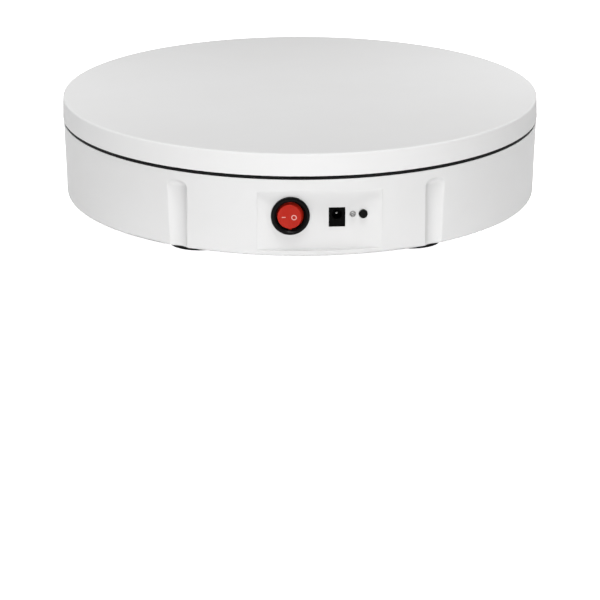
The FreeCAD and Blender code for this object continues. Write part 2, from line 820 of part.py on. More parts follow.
def make_gears():
    module = DRIVING_SIZES["gear_module"]
    backlash = DRIVING_SIZES["gear_backlash"]
    ring_teeth = int(DRIVING_SIZES["ring_teeth"])
    pinion_teeth = int(DRIVING_SIZES["pinion_teeth"])
    # the ring's spaces are the shape of an external gear with a little more room
    space = gear_outline(
        ring_teeth, module, ring_root.value, ring_pitch.value - module * 0.85,
        half_tooth_at_pitch(module, backlash / 4),
    )
    ring_height = DRIVING_SIZES["ring_height"]
    up = FreeCAD.Vector(0, 0, ring_height)
    blank = Part.makeCylinder(ring_radius.value, ring_height)
    toothed = blank.cut(Part.Face(space).extrude(up))
    for n in range(STATIONS):
        angle = math.radians(15 + STATION_PITCH * n)
        reach = ring_screw_circle.value
        place = FreeCAD.Vector(reach * math.cos(angle), reach * math.sin(angle), 0)
        toothed = toothed.cut(Part.makeCylinder(1.7, ring_height, place))
        toothed = toothed.cut(Part.makeCylinder(2.9, 1.9, place))
    ring = doc.addObject("Part::Feature", "ring_gear_shape")
    ring.Shape = toothed
    node("ring_gear", seat(ring, 0, 0, ring_z))

    outline = gear_outline(
        pinion_teeth, module, pinion_pitch.value + module * 0.92, pinion_pitch.value - module * 1.2,
        half_tooth_at_pitch(module, -backlash / 4),
    )
    pinion_height = DRIVING_SIZES["pinion_height"]
    solid = Part.Face(outline).extrude(FreeCAD.Vector(0, 0, pinion_height))
    solid = solid.fuse(Part.makeCylinder(6.5, 1.2, FreeCAD.Vector(0, 0, -1.2))).removeSplitter()
    fit = DRIVING_SIZES["close_fit"]
    shaft = DRIVING_SIZES["shaft_radius"]
    bore = Part.makeCylinder(shaft + fit, pinion_height + 4, FreeCAD.Vector(0, 0, -2))
    flat = Part.makeBox(20, 10, pinion_height + 4)
    flat.translate(FreeCAD.Vector(-10, shaft - DRIVING_SIZES["shaft_flat"] + fit, -2))
    pinion = doc.addObject("Part::Feature", "pinion_shape")
    pinion.Shape = solid.cut(bore.cut(flat))
    node("drive_pinion", seat(pinion, 0, pinion_y, pinion_z))

    made = []
    for n in range(STATIONS):
        angle = size(15 + STATION_PITCH * n)
        x, y = ring_screw_circle * cosine(angle), ring_screw_circle * sine(angle)
        length = dim("ring_height") - 1.9 + 4
        made.append(screw(f"ring_screw_{n}", 1.5, length, 2.7, 1.7, x, y, ring_z + 1.9, False))
    node("ring_gear_screws", grouped("ring_screw_set", *made))


# ---- motor: can, gearbox lid with two ears, output shaft ----
def make_motor():
    can_height = dim("motor_height") - dim("motor_lid")
    can = cylinder("can_outside", dim("motor_radius") - 0.4, can_height, 0, motor_y, motor_z)
    can = rounded("can_round", can, size(1.5), is_circle_at(motor_z))
    hollow = cylinder("can_inside", dim("motor_radius") - 1.6, can_height - 1.2, 0, motor_y, motor_z + 1.2)
    outlet = block("lead_outlet", 6, 7, 5, dim("motor_radius") - 4, motor_y - 3.5, motor_z + 5)
    node("motor_can", cut("can_shell", can, hollow, outlet))
    # wound coil former inside the can
    winding_height = can_height - 3
    node("motor_winding", tube(
        "winding", dim("motor_radius") - 1.7, 12, winding_height, 0, motor_y, motor_z + 1.2,
    ))
    lid = cylinder("lid_disc", dim("motor_radius"), dim("motor_lid"), 0, motor_y, motor_lid_z)
    ear_z = deck_under - dim("motor_ear_thickness")
    reach = dim("motor_ear_reach")
    strap = block("lid_strap", 10, reach * 2, dim("motor_ear_thickness"), -5, motor_y - reach, ear_z)
    parts = [lid, strap]
    way = dim("shaft_radius") + dim("running_fit")
    ways = [cylinder("lid_shaft_way", way, 10, 0, pinion_y, motor_lid_z - 1)]
    for n, y in enumerate((motor_y - reach, motor_y + reach)):
        parts.append(cylinder(f"ear_{n}", 5, dim("motor_ear_thickness"), 0, y, ear_z))
        ways.append(cylinder(f"ear_hole_{n}", dim("motor_screw_radius") + 0.1, 4, 0, y, ear_z - 1))
    node("motor_gearbox_lid", cut("lid_drilled", fused("lid_blank", *parts), *ways))
    shaft_bottom = motor_lid_z - 1.5
    shaft_top = pinion_z + dim("pinion_height") + 0.3
    shaft = cylinder("shaft_round", dim("shaft_radius"), shaft_top - shaft_bottom, 0, pinion_y, shaft_bottom)
    flat_z = pinion_z - 1.4
    flat = block(
        "shaft_flat_cut", 20, 10, 20, -10, pinion_y + dim("shaft_radius") - dim("shaft_flat"), flat_z,
    )
    node("motor_shaft", cut("shaft_flatted", shaft, flat))
    screws, nuts = [], []
    nut_height = 3.0
    for n, y in enumerate((motor_y - reach, motor_y + reach)):
        screws.append(screw(
            f"motor_screw_{n}", dim("motor_screw_radius"),
            dim("deck_thickness") + dim("motor_ear_thickness") + 4,
            3.5, 1.9, 0, y, rim_z, True,
        ))
        prism = doc.addObject("Part::Prism", f"nut_hex_{n}")
        prism.Polygon = 6
        bind(prism, "Circumradius", 3.6)
        bind(prism, "Height", nut_height)
        seat(prism, 0, y, ear_z - nut_height)
        thread = cylinder(f"nut_thread_{n}", dim("motor_screw_radius") + dim("close_fit"), 6, 0, y, ear_z - 5)
        nuts.append(cut(f"motor_nut_{n}", prism, thread))
    node("motor_screws", grouped("motor_screw_set", *screws))
    node("motor_nuts", grouped("motor_nut_set", *nuts))


# ---- spindle and its bearings ----
def make_spindle():
    body = new_body("spindle_body")
    radius = dim("bearing_bore_radius")
    upper_top = upper_bearing_z + dim("bearing_width")
    washer_bottom = lower_bearing_z - dim("washer_thickness")
    clip_bottom = washer_bottom - dim("clip_thickness")
    waist = radius - 0.8
    flange_under = seat_z - dim("spindle_flange")
    revolve(body, "spindle_turned", [
        (0, clip_bottom - 1.6), (radius - 0.5, clip_bottom - 1.6),
        (radius, clip_bottom - 1.1), (radius, clip_bottom),
        (waist, clip_bottom), (waist, washer_bottom), (radius, washer_bottom), (radius, upper_top),
        (dim("spindle_shoulder_radius"), upper_top), (dim("spindle_shoulder_radius"), flange_under),
        (dim("spindle_flange_radius"), flange_under), (dim("spindle_flange_radius"), seat_z), (0, seat_z),
    ])
    circle_radius = dim("spindle_screw_circle")
    hole = pocket(
        body, "flange_hole",
        lambda s: circle(s, 1.7, circle_radius * cosine(15), circle_radius * sine(15)),
        dim("spindle_flange") + 2, seat_z + 1,
    )
    repeat_round(body, hole, size(4), "flange_holes")
    sink = pocket(
        body, "flange_sink",
        lambda s: circle(s, 2.9, circle_radius * cosine(15), circle_radius * sine(15)),
        size(1.8), flange_under + 1.8,
    )
    repeat_round(body, sink, size(4), "flange_sinks")
    node("spindle", body)
    made = []
    for n in range(4):
        angle = size(15 + 90 * n)
        x, y = circle_radius * cosine(angle), circle_radius * sine(angle)
        made.append(screw(f"hub_screw_{n}", 1.5, dim("spindle_flange") - 1.8 + 4, 2.7, 1.6, x, y,
                          flange_under + 1.8, False))
    node("spindle_screws", grouped("hub_screw_set", *made))
    node("spindle_washer", tube(
        "washer", dim("washer_radius"), radius + dim("running_fit"),
        dim("washer_thickness"), 0, 0, washer_bottom,
    ))
    ring = tube("clip_ring", 8.4, waist + dim("close_fit"), dim("clip_thickness"), 0, 0, clip_bottom)
    mouth = block("clip_mouth", 7, 12, 3, -3.5, 2, clip_bottom - 1)
    node("spindle_clip", cut("clip", ring, mouth))


def make_bearing(name, low):
    """A deep-groove ball bearing: two races, a ring of balls, and their cage."""
    width = dim("bearing_width")
    middle = low + width / 2
    circle_radius = dim("ball_circle")
    track = dim("ball_radius") + dim("running_fit")
    shoulder = dim("ball_radius") * 2 / 3
    bore = dim("bearing_bore_radius") + dim("close_fit")
    inner = tube(f"{name}_inner_blank", circle_radius - shoulder, bore,
                 width, 0, 0, low)
    inner_track = torus(f"{name}_track_a", circle_radius, track, middle)
    node(f"{name}_bearing_inner_race", cut(f"{name}_inner", inner, inner_track))
    outer = tube(f"{name}_outer_blank", dim("bearing_outer_radius"), circle_radius + shoulder,
                 width, 0, 0, low)
    outer_track = torus(f"{name}_track_b", circle_radius, track, middle)
    node(f"{name}_bearing_outer_race", cut(f"{name}_outer", outer, outer_track))
    balls, pockets = [], []
    for n in range(int(DRIVING_SIZES["ball_count"])):
        angle = 360 / DRIVING_SIZES["ball_count"] * n
        x, y = circle_radius * cosine(angle), circle_radius * sine(angle)
        balls.append(ball(f"{name}_ball_{n}", dim("ball_radius"), x, y, middle))
        pockets.append(ball(f"{name}_pocket_{n}", track, x, y, middle))
    node(f"{name}_bearing_balls", grouped(f"{name}_ball_set", *balls))
    half_band = shoulder * 0.5
    band = tube(f"{name}_band", circle_radius + half_band, circle_radius - half_band,
                dim("ball_radius") * 1.5, 0, 0, middle - dim("ball_radius") * 0.75)
    node(f"{name}_bearing_cage", cut(f"{name}_cage", band, *pockets))


# ---- rocker switch ----
def make_switch():
    x = dim("switch_offset")
    pivot_y = panel_y - dim("bezel_height") + dim("rocker_pivot_depth")
    back = panel_y + dim("switch_body_depth")
    flange = cylinder("bezel_flange", dim("bezel_radius"), dim("bezel_height"),
                      x, panel_y, controls_z, OUTWARD)
    flange_front = panel_y - dim("bezel_height")
    flange = rounded("bezel_round", flange, size(1.2),
                     lambda e: abs(e.BoundBox.YMax - flange_front.value) < 1e-4)
    barrel = cylinder("switch_barrel", dim("switch_body_radius"), dim("switch_body_depth"),
                      x, back, controls_z, OUTWARD)
    bore_depth = dim("switch_body_depth") - 2 + dim("bezel_height")
    bore = cylinder("bezel_bore", dim("bezel_bore_radius"), bore_depth + 1, x, back - 2, controls_z, OUTWARD)
    flare = cone("bezel_flare", dim("bezel_bore_radius"), dim("bezel_bore_radius") + 1.4, 1.4, x,
                 flange_front + 1.2, controls_z, OUTWARD)
    bezel_bore = dim("bezel_bore_radius")
    pin_hole = cylinder("pin_hole", dim("rocker_pin_radius") + dim("running_fit"), bezel_bore * 2 + 2.0,
                        x, pivot_y, controls_z - bezel_bore - 1.0)
    slots, blades = [], []
    for n, side in enumerate((-4.0, 4.0)):
        slots.append(block(f"blade_slot_{n}", 0.84, 6, 4.84, x + side - 0.42, back - 3, controls_z - 2.42))
        blades.append(block(f"blade_{n}", 0.8, 10, 4.8, x + side - 0.4, back - 2, controls_z - 2.4))
    blank = fused("bezel_blank", flange, barrel)
    node("switch_bezel", cut("bezel_drilled", blank, bore, flare, pin_hole, *slots))
    node("switch_terminals", grouped("blade_set", *blades))

    # the rocker, drawn level with local +Z out of the panel, then tipped so that its left half is pressed in
    body = new_body("rocker_body")
    revolve(body, "rocker_turned", [
        (0, -4.5), (5.4, -4.5), (dim("rocker_radius"), 0), (dim("rocker_face_radius"), 5.2), (0, 5.2),
    ])
    sketch = new_sketch(body, "rocker_vee_outline", "XZ_Plane")
    slope = tangent(dim("rocker_slope"))
    crease = 3.4
    polygon(sketch, [(-9, crease + slope * 9), (0, crease), (9, crease + slope * 9), (9, 9), (-9, 9)])
    vee = body.newObject("PartDesign::Pocket", "rocker_vee")
    vee.Profile = sketch
    vee.Midplane = True
    vee.Length = 20
    pin_sketch = new_sketch(body, "rocker_pin_outline", "XZ_Plane")
    circle(pin_sketch, dim("rocker_pin_radius"))
    pins = body.newObject("PartDesign::Pad", "rocker_pins")
    pins.Profile = pin_sketch
    pins.Midplane = True
    bind(pins, "Length", dim("bezel_bore_radius") * 2 + 1.6)
    tip = FreeCAD.Rotation(FreeCAD.Vector(0, 1, 0), -DRIVING_SIZES["rocker_tilt"])
    seat(body, x, pivot_y, controls_z, OUTWARD.multiply(tip))
    node("switch_rocker", body)


# ---- power jack, indicator lamp and direction button, on the circuit board ----
def make_jack():
    x = dim("jack_offset")
    front = panel_y + 0.2
    shell = block("jack_block", dim("jack_width"), dim("jack_length"), dim("jack_height"),
                  x - dim("jack_width") / 2, front, board_top)
    hole = cylinder("jack_bore", dim("jack_hole_radius"), 10, x, front + 9.5, jack_z, OUTWARD)
    way_radius = dim("jack_pin_radius") + dim("close_fit")
    pin_way = cylinder("jack_pin_way", way_radius, 12, x, front + 13.2, jack_z, OUTWARD)
    node("power_jack", cut("jack_shell", shell, hole, pin_way))
    tip = front + dim("jack_pin_depth")
    end = front + 13.2
    pin = cylinder("jack_pin_rod", dim("jack_pin_radius"), end - tip, x, end, jack_z, OUTWARD)
    node("power_jack_pin", rounded("jack_pin_tip", pin, size(0.6),
                                   lambda e: abs(e.BoundBox.YMax - tip.value) < 1e-4))
    tab_height = board_top - board_under + 1.5
    tabs = [
        block("jack_tab_rear", 2.4, 0.6, tab_height, x - 1.2, front + 13.2, board_under - 1.5),
        block("jack_tab_middle", 2.4, 0.6, tab_height, x - 1.2, front + 7.4, board_under - 1.5),
    ]
    node("power_jack_tabs", grouped("jack_tab_set", *tabs))


def make_lamp():
    x = dim("lamp_offset")
    flange_y = panel_back + 0.1
    proud = 0.5
    barrel_length = flange_y - panel_y + proud
    barrel = cylinder("lamp_barrel", dim("lamp_radius"), barrel_length, x, flange_y, lamp_z, OUTWARD)
    dome = ball("lamp_dome", dim("lamp_radius"), x, panel_y - proud, lamp_z)
    base = cylinder("lamp_base", dim("lamp_radius") + 0.4, 1, x, flange_y + 1, lamp_z, OUTWARD)
    node("indicator_lamp", fused("lamp_lens", barrel, dome, base))
    leads = []
    for n, side in enumerate((-0.9, 0.4)):
        run = block(f"lamp_lead_run_{n}", 0.5, 3.5, 0.5, x + side, flange_y + 1, lamp_z - 0.25)
        drop = block(f"lamp_lead_drop_{n}", 0.5, 0.5, lamp_z - board_under + 0.25 + 1.2,
                     x + side, flange_y + 4, board_under - 1.2)
        leads.append(fused(f"lamp_lead_{n}", run, drop))
    node("indicator_leads", grouped("lamp_lead_set", *leads))


def make_button():
    x = dim("button_offset")
    front = panel_y - dim("button_proud")
    collar_front = panel_back + 0.1
    collar_back = collar_front + 1
    stem_end = collar_back + 2.6
    cap = cylinder("button_cap", dim("button_radius"), collar_back - front, x, collar_back, lamp_z, OUTWARD)
    cap = rounded("button_cap_round", cap, size(0.5), lambda e: abs(e.BoundBox.YMax - front.value) < 1e-4)
    collar = cylinder("button_collar", dim("button_radius") + 0.9, 1, x, collar_back, lamp_z, OUTWARD)
    stem = cylinder("button_stem", 1.6, 2.6, x, stem_end, lamp_z, OUTWARD)
    node("direction_button", fused("button_blank", cap, collar, stem))
    housing_front = collar_back + dim("button_travel") + 0.3
    housing = block("tact_block", 6.4, 4.6, lamp_z + 3.4 - board_top, x - 3.2, housing_front, board_top)
    way = cylinder("tact_bore", 1.75, 3.4, x, housing_front + 2.4, lamp_z, OUTWARD)
    legs = [
        block(f"tact_leg_{n}", 0.7, 0.7, board_top - board_under + 1, x + side, housing_front + 2,
              board_under - 1)
        for n, side in enumerate((-2.4, 1.7))
    ]
    node("button_switch", cut("tact_housing", housing, way))
    node("button_switch_legs", grouped("tact_leg_set", *legs))


def make_board():
    plate = block("board_plate", dim("board_width"), dim("board_depth"), dim("board_thickness"),
                  dim("board_left"), board_front, board_under)
    ways = []
    screws = []
    for side, x in (("left", dim("board_left") + 3), ("right", board_right - 3)):
        for end, y in (("front", board_front + 14.5), ("rear", board_back - 3.5)):
            ways.append(cylinder(f"board_way_{side}_{end}", 1.15, 6, x, y, board_under - 2))
            screws.append(screw(f"board_screw_{side}_{end}", 1.0, 7, 1.9, 1.3, x, y, board_top, True))
    # clearance slots for every lead and tab that passes through the board
    jack_front = panel_y + 0.2
    for n, y in enumerate((jack_front + 13.2, jack_front + 7.4)):
        ways.append(block(f"tab_way_{n}", 2.5, 0.7, 4, dim("jack_offset") - 1.25, y - 0.05, board_under - 1))
    lead_y = panel_back + 0.1 + 4
    for n, side in enumerate((-0.9, 0.4)):
        ways.append(block(f"lead_way_{n}", 0.6, 0.6, 4, dim("lamp_offset") + side - 0.05, lead_y - 0.05,
                          board_under - 1))
    leg_y = panel_back + 1.1 + dim("button_travel") + 0.3 + 2
    for n, side in enumerate((-2.4, 1.7)):
        ways.append(block(f"leg_way_{n}", 0.8, 0.8, 4, dim("button_offset") + side - 0.05, leg_y - 0.05,
                          board_under - 1))
    node("circuit_board", cut("board_drilled", plate, *ways))
    node("board_screws", grouped("board_screw_set", *screws))
    middle = dim("board_left") + dim("board_width") / 2
    chips = [
        block("controller_chip", 7, 7, 1.4, middle - 3.5, board_front + 19, board_top),
        block("driver_chip", 6, 4, 1.5, middle + 5.5, board_front + 20.5, board_top),
    ]
    node("controller_chips", grouped("chip_set", *chips))
    cans = [
        cylinder("capacitor_a", 2.5, 6.5, dim("board_left") + 7.5, board_front + 22, board_top),
        cylinder("capacitor_b", 3.1, 8, middle + 7.5, board_front + 13.2, board_top),
    ]
    node("capacitors", grouped("capacitor_set", *cans))
    plugs = []
    for n, (x, wide) in enumerate(((switch_plug_x, 7.0), (motor_plug_x, 11.0))):
        plugs.append(block(f"plug_{n}", wide, 6, 6, x - wide / 2, board_back - 6, board_top))
    node("lead_connectors", grouped("connector_set", *plugs))


switch_plug_x = dim("board_left") + 10
motor_plug_x = board_right - 11


# ---- insulated leads: straight runs joined by tangent arcs, held at both ends ----
def lead(name, points, radius):
    points = [FreeCAD.Vector(*(size(c).value for c in p)) for p in points]
    edges = []
    last = points[0]
    radii = []
    for n in range(1, len(points) - 1):
        before = (points[n - 1] - points[n])
        after = (points[n + 1] - points[n])
        shorter = min(before.Length, after.Length)
        before.normalize()
        after.normalize()
        turn = math.pi - before.getAngle(after)
        back_off = 0.45 * shorter
        radii.append(back_off / math.tan(turn / 2))
        start = points[n] + before * back_off
        end = points[n] + after * back_off
        bisector = (before + after).normalize()
        centre = points[n] + bisector * (radii[-1] / math.cos(turn / 2))
        middle = centre - bisector * radii[-1]
        edges.append(Part.LineSegment(last, start).toShape())
        edges.append(Part.Arc(start, middle, end).toShape())
        last = end
    edges.append(Part.LineSegment(last, points[-1]).toShape())
    path = Part.Wire(edges)
    heading = (points[1] - points[0]).normalize()
    profile = Part.Wire(Part.makeCircle(radius, points[0], heading))
    made = doc.addObject("Part::Feature", name + "_shape")
    made.Shape = path.makePipeShell([profile], True, False)
    expected = math.pi * radius ** 2 * path.Length
    share = made.Shape.Volume / expected
    bends = [round(r, 1) for r in radii]
    print(name, "length", round(path.Length, 1), "radii", bends, "volume share", round(share, 4))
    if abs(share - 1) > 0.01:
        raise ValueError(f"{name}: the lead's volume is off")
    node(name, made)


def make_leads():
    blade_end = panel_y + dim("switch_body_depth") + 8.1
    plug_back = board_back + 0.1
    plug_z = board_top + 3
    x = dim("switch_offset")
    routes = (("switch_lead_live", -4.0, 20.0, 2.6), ("switch_lead_return", 4.0, 15.0, 0.0))
    for name, side, swing, height in routes:
        plug_side = side * 0.4
        lead(name, [
            (x + side, blade_end, controls_z),
            (x + side, plug_back + swing * 0.25, controls_z + height),
            (x + side + 9, plug_back + swing, controls_z + height),
            (switch_plug_x - plug_side + 1, plug_back + swing, plug_z + height * 0.5),
            (switch_plug_x - plug_side, plug_back, plug_z),
        ], 0.8)
    start_x = dim("motor_radius") - 1.4
    lead("motor_lead", [
        (start_x, motor_y, motor_z + 7.5),
        (start_x + 16, motor_y - 1, motor_z + 5),
        (start_x + 26, motor_y - 24, motor_z - 8),
        (start_x + 24, motor_y - 62, floor_top + 5),
        (start_x + 16, motor_y - 104, floor_top + 6),
        (motor_plug_x + 8, plug_back + 38, floor_top + 10),
        (motor_plug_x + 1, plug_back + 17, plug_z - 1),
        (motor_plug_x, plug_back, plug_z),
    ], 1.1)


make_base_shell()
make_feet()
make_deck()
make_deck_screws()
make_rollers()
make_platter()
make_gears()
make_motor()
make_spindle()
make_bearing("upper", upper_bearing_z)
make_bearing("lower", lower_bearing_z)
make_switch()
make_jack()
make_lamp()
make_button()
make_board()
make_leads()

# ---- rebuild, test every object, and write one STEP file for each node ----
doc.recompute()
for thing in doc.Objects:
    if any(word in state for state in thing.State for word in ("Invalid", "Error")):
        raise ValueError(f"{thing.Name} ({thing.Label}) failed: {thing.State}")
os.makedirs("parts", exist_ok=True)
for name, thing in named.items():
    shape = thing.Shape
    if shape.isNull() or not shape.isValid() or not shape.Solids:
        raise ValueError(f"{name} has no valid solid")
    if any(solid.Volume <= 0 for solid in shape.Solids):
        raise ValueError(f"{name} has an empty solid")
    shape.exportStep(f"parts/{name}.step")
print(len(named), "nodes written")
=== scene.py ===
import json
import math

import bmesh
import bpy
from mathutils import Matrix, Vector


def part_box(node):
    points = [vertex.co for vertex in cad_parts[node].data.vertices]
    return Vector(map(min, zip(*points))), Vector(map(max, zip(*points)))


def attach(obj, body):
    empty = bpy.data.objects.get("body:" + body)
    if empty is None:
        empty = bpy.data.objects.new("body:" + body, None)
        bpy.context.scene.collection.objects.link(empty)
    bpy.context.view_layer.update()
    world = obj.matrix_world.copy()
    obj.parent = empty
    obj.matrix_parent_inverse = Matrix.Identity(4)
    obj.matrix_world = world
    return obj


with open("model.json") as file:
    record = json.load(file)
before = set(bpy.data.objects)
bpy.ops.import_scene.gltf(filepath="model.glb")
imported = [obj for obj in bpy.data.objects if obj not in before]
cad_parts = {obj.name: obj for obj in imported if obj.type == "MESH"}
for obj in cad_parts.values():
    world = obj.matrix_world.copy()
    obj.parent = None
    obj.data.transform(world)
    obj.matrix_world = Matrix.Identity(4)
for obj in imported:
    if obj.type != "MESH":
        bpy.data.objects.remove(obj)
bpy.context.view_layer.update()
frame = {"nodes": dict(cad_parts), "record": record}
nodes = frame["nodes"]
print("frame loaded:", len(nodes), "nodes")


# long lens from a little above, dipped so that the turntable sits in the upper part of the picture
camera = {
    "azimuth": -4.6, "elevation": 15.35, "distance": 1.65, "lookHeight": 0.034, "dip": 3.57,
    "lens": 155.0, "sensor": 36.0, "reach": 20.0,
}


def makeCamera():
    data = bpy.data.cameras.new("studioCamera")
    data.lens = camera["lens"]
    data.sensor_width = camera["sensor"]
    data.clip_end = camera["reach"]
    rig = bpy.data.objects.new("studioCamera", data)
    bpy.context.collection.objects.link(rig)
    a, e = math.radians(camera["azimuth"]), math.radians(camera["elevation"])
    back = Vector((math.sin(a) * math.cos(e), -math.cos(a) * math.cos(e), math.sin(e)))
    rig.location = Vector((0, 0, camera["lookHeight"])) + back * camera["distance"]
    e = math.radians(camera["elevation"] + camera["dip"])
    aim = Vector((-math.sin(a) * math.cos(e), math.cos(a) * math.cos(e), -math.sin(e)))
    rig.rotation_mode = "QUATERNION"
    rig.rotation_quaternion = aim.to_track_quat("-Z", "Y")
    bpy.context.scene.camera = rig


makeCamera()
print("camera ready")


# shader building: small helpers that add a node and join it to what it reads

def newGroup(name, inputs, outputs):
    group = bpy.data.node_groups.new(name, "ShaderNodeTree")
    for label, kind, value in inputs:
        socket = group.interface.new_socket(name=label, in_out="INPUT", socket_type=kind)
        socket.default_value = value
    for label, kind in outputs:
        group.interface.new_socket(name=label, in_out="OUTPUT", socket_type=kind)
    return group, group.nodes.new("NodeGroupInput"), group.nodes.new("NodeGroupOutput")


def feed(tree, socket, value):
    if isinstance(value, bpy.types.NodeSocket):
        tree.links.new(value, socket)
    else:
        socket.default_value = value


def addNode(tree, kind, inputs=None, **settings):
    node = tree.nodes.new(kind)
    for key, value in settings.items():
        setattr(node, key, value)
    for key, value in (inputs or {}).items():
        feed(tree, node.inputs[key], value)
    return node


def maths(tree, operation, a, b=0.0, clamp=False):
    return addNode(tree, "ShaderNodeMath", {0: a, 1: b}, operation=operation, use_clamp=clamp).outputs[0]


def blendColour(tree, factor, a, b, kind="MIX"):
    inputs = {0: factor, 6: a, 7: b}
    return addNode(tree, "ShaderNodeMix", inputs, data_type="RGBA", blend_type=kind).outputs[2]


def remap(tree, value, fromLow, fromHigh, toLow, toHigh):
    inputs = {"Value": value, "From Min": fromLow, "From Max": fromHigh, "To Min": toLow, "To Max": toHigh}
    return addNode(tree, "ShaderNodeMapRange", inputs).outputs["Result"]


def noise(tree, coords, scale, detail=3.0, rough=0.55):
    inputs = {"Vector": coords, "Scale": scale, "Detail": detail, "Roughness": rough}
    return addNode(tree, "ShaderNodeTexNoise", inputs).outputs["Fac"]


def stretched(tree, coords, x, y, z):
    return addNode(tree, "ShaderNodeMapping", {"Vector": coords, "Scale": (x, y, z)}).outputs["Vector"]


# moulded plastic: slow colour and gloss drift from the flow of the melt, over a fine spark-eroded grain
def makeMouldedGroup():
    group, start, end = newGroup(
        "mouldedSurface",
        [("Coords", "NodeSocketVector", (0, 0, 0)), ("Base", "NodeSocketColor", (0.8, 0.8, 0.8, 1)),
         ("Tint", "NodeSocketColor", (0.75, 0.75, 0.75, 1)), ("Drift Scale", "NodeSocketFloat", 18.0),
         ("Grain Scale", "NodeSocketFloat", 2600.0), ("Rough Low", "NodeSocketFloat", 0.3),
         ("Rough High", "NodeSocketFloat", 0.4)],
        [("Color", "NodeSocketColor"), ("Roughness", "NodeSocketFloat"), ("Height", "NodeSocketFloat")],
    )
    s = start.outputs
    drift = noise(group, s["Coords"], s["Drift Scale"], 4.0, 0.6)
    grain = noise(group, s["Coords"], s["Grain Scale"], 2.0, 0.5)
    cells = addNode(group, "ShaderNodeTexVoronoi", {"Vector": s["Coords"], "Scale": s["Grain Scale"]})
    pits = cells.outputs["Distance"]
    colour = blendColour(group, remap(group, drift, 0.35, 0.65, 0.0, 1.0), s["Base"], s["Tint"])
    colour = blendColour(group, remap(group, grain, 0.3, 0.7, 0.0, 0.12), colour, s["Tint"])
    wander = remap(group, drift, 0.3, 0.7, s["Rough Low"], s["Rough High"])
    rough = maths(group, "ADD", wander, remap(group, grain, 0.3, 0.7, -0.03, 0.03))
    height = maths(group, "ADD", maths(group, "MULTIPLY", grain, 0.7), maths(group, "MULTIPLY", pits, 0.3))
    feed(group, end.inputs["Color"], colour)
    feed(group, end.inputs["Roughness"], rough)
    feed(group, end.inputs["Height"], height)
    return group


# metal: fine marks drawn out along one axis by the stretch of the coordinates, and a slow stain
def makeMetalGroup():
    group, start, end = newGroup(
        "workedMetal",
        [("Coords", "NodeSocketVector", (0, 0, 0)), ("Base", "NodeSocketColor", (0.6, 0.6, 0.6, 1)),
         ("Stain", "NodeSocketColor", (0.4, 0.4, 0.4, 1)), ("Mark Scale", "NodeSocketFloat", 900.0),
         ("Rough Low", "NodeSocketFloat", 0.2), ("Rough High", "NodeSocketFloat", 0.35)],
        [("Color", "NodeSocketColor"), ("Roughness", "NodeSocketFloat"), ("Height", "NodeSocketFloat")],
    )
    s = start.outputs
    marks = noise(group, s["Coords"], s["Mark Scale"], 5.0, 0.65)
    stain = noise(group, s["Coords"], 60.0, 3.0, 0.5)
    colour = blendColour(group, remap(group, stain, 0.4, 0.75, 0.0, 0.7), s["Base"], s["Stain"])
    colour = blendColour(group, remap(group, marks, 0.4, 0.8, 0.0, 0.35), colour, s["Stain"])
    feed(group, end.inputs["Color"], colour)
    feed(group, end.inputs["Roughness"], remap(group, marks, 0.3, 0.7, s["Rough Low"], s["Rough High"]))
    feed(group, end.inputs["Height"], marks)
    return group


# dust: a thin film that gathers in patches on what faces up
def makeDustGroup():
    group, start, end = newGroup(
        "settledDust",
        [("Coords", "NodeSocketVector", (0, 0, 0)), ("Color", "NodeSocketColor", (0.5, 0.5, 0.5, 1)),
         ("Dust", "NodeSocketColor", (0.55, 0.53, 0.5, 1)), ("Amount", "NodeSocketFloat", 0.1)],
        [("Color", "NodeSocketColor")],
    )
    s = start.outputs
    normal = addNode(group, "ShaderNodeNewGeometry").outputs["Normal"]
    upward = addNode(group, "ShaderNodeSeparateXYZ", {"Vector": normal}).outputs["Z"]
    patch = remap(group, noise(group, s["Coords"], 140.0, 6.0, 0.7), 0.35, 0.7, 0.2, 1.0)
    mask = maths(group, "MULTIPLY", remap(group, upward, -0.2, 0.9, 0.15, 1.0), patch)
    mask = maths(group, "MULTIPLY", mask, s["Amount"], clamp=True)
    feed(group, end.inputs["Color"], blendColour(group, mask, s["Color"], s["Dust"]))
    return group


mouldedGroup = makeMouldedGroup()
metalGroup = makeMetalGroup()
dustGroup = makeDustGroup()


def startMaterial(name):
    material = bpy.data.materials.new(name)
    material.use_nodes = True
    tree = material.node_tree
    shader = tree.nodes["Principled BSDF"]
    coords = addNode(tree, "ShaderNodeTexCoord").outputs["Object"]
    return material, tree, shader, coords


def placeGroup(tree, group, inputs):
    node = addNode(tree, "ShaderNodeGroup", node_tree=group)
    for key, value in inputs.items():
        feed(tree, node.inputs[key], value)
    return node.outputs


def addBump(tree, shader, height, distance):
    bump = addNode(tree, "ShaderNodeBump", {"Height": height, "Distance": distance})
    feed(tree, shader.inputs["Normal"], bump.outputs["Normal"])


def grey(level, warm=0.0):
    return (level * (1 + warm), level, level * (1 - warm), 1.0)


# rough is the lowest and highest roughness; grain sizes and depths are in metres
def plastic(name, base, tint, rough, grainSize, grainDepth, dust=0.0, drift=18.0, specular=0.5):
    material, tree, shader, coords = startMaterial(name)
    out = placeGroup(tree, mouldedGroup, {
        "Coords": coords, "Base": base, "Tint": tint, "Drift Scale": drift, "Grain Scale": 1.0 / grainSize,
        "Rough Low": rough[0], "Rough High": rough[1],
    })
    colour = out["Color"]
    if dust:
        colour = placeGroup(tree, dustGroup, {"Coords": coords, "Color": colour, "Amount": dust})["Color"]
    feed(tree, shader.inputs["Base Color"], colour)
    feed(tree, shader.inputs["Roughness"], out["Roughness"])
    shader.inputs["Specular IOR Level"].default_value = specular
    addBump(tree, shader, out["Height"], grainDepth)
    return material


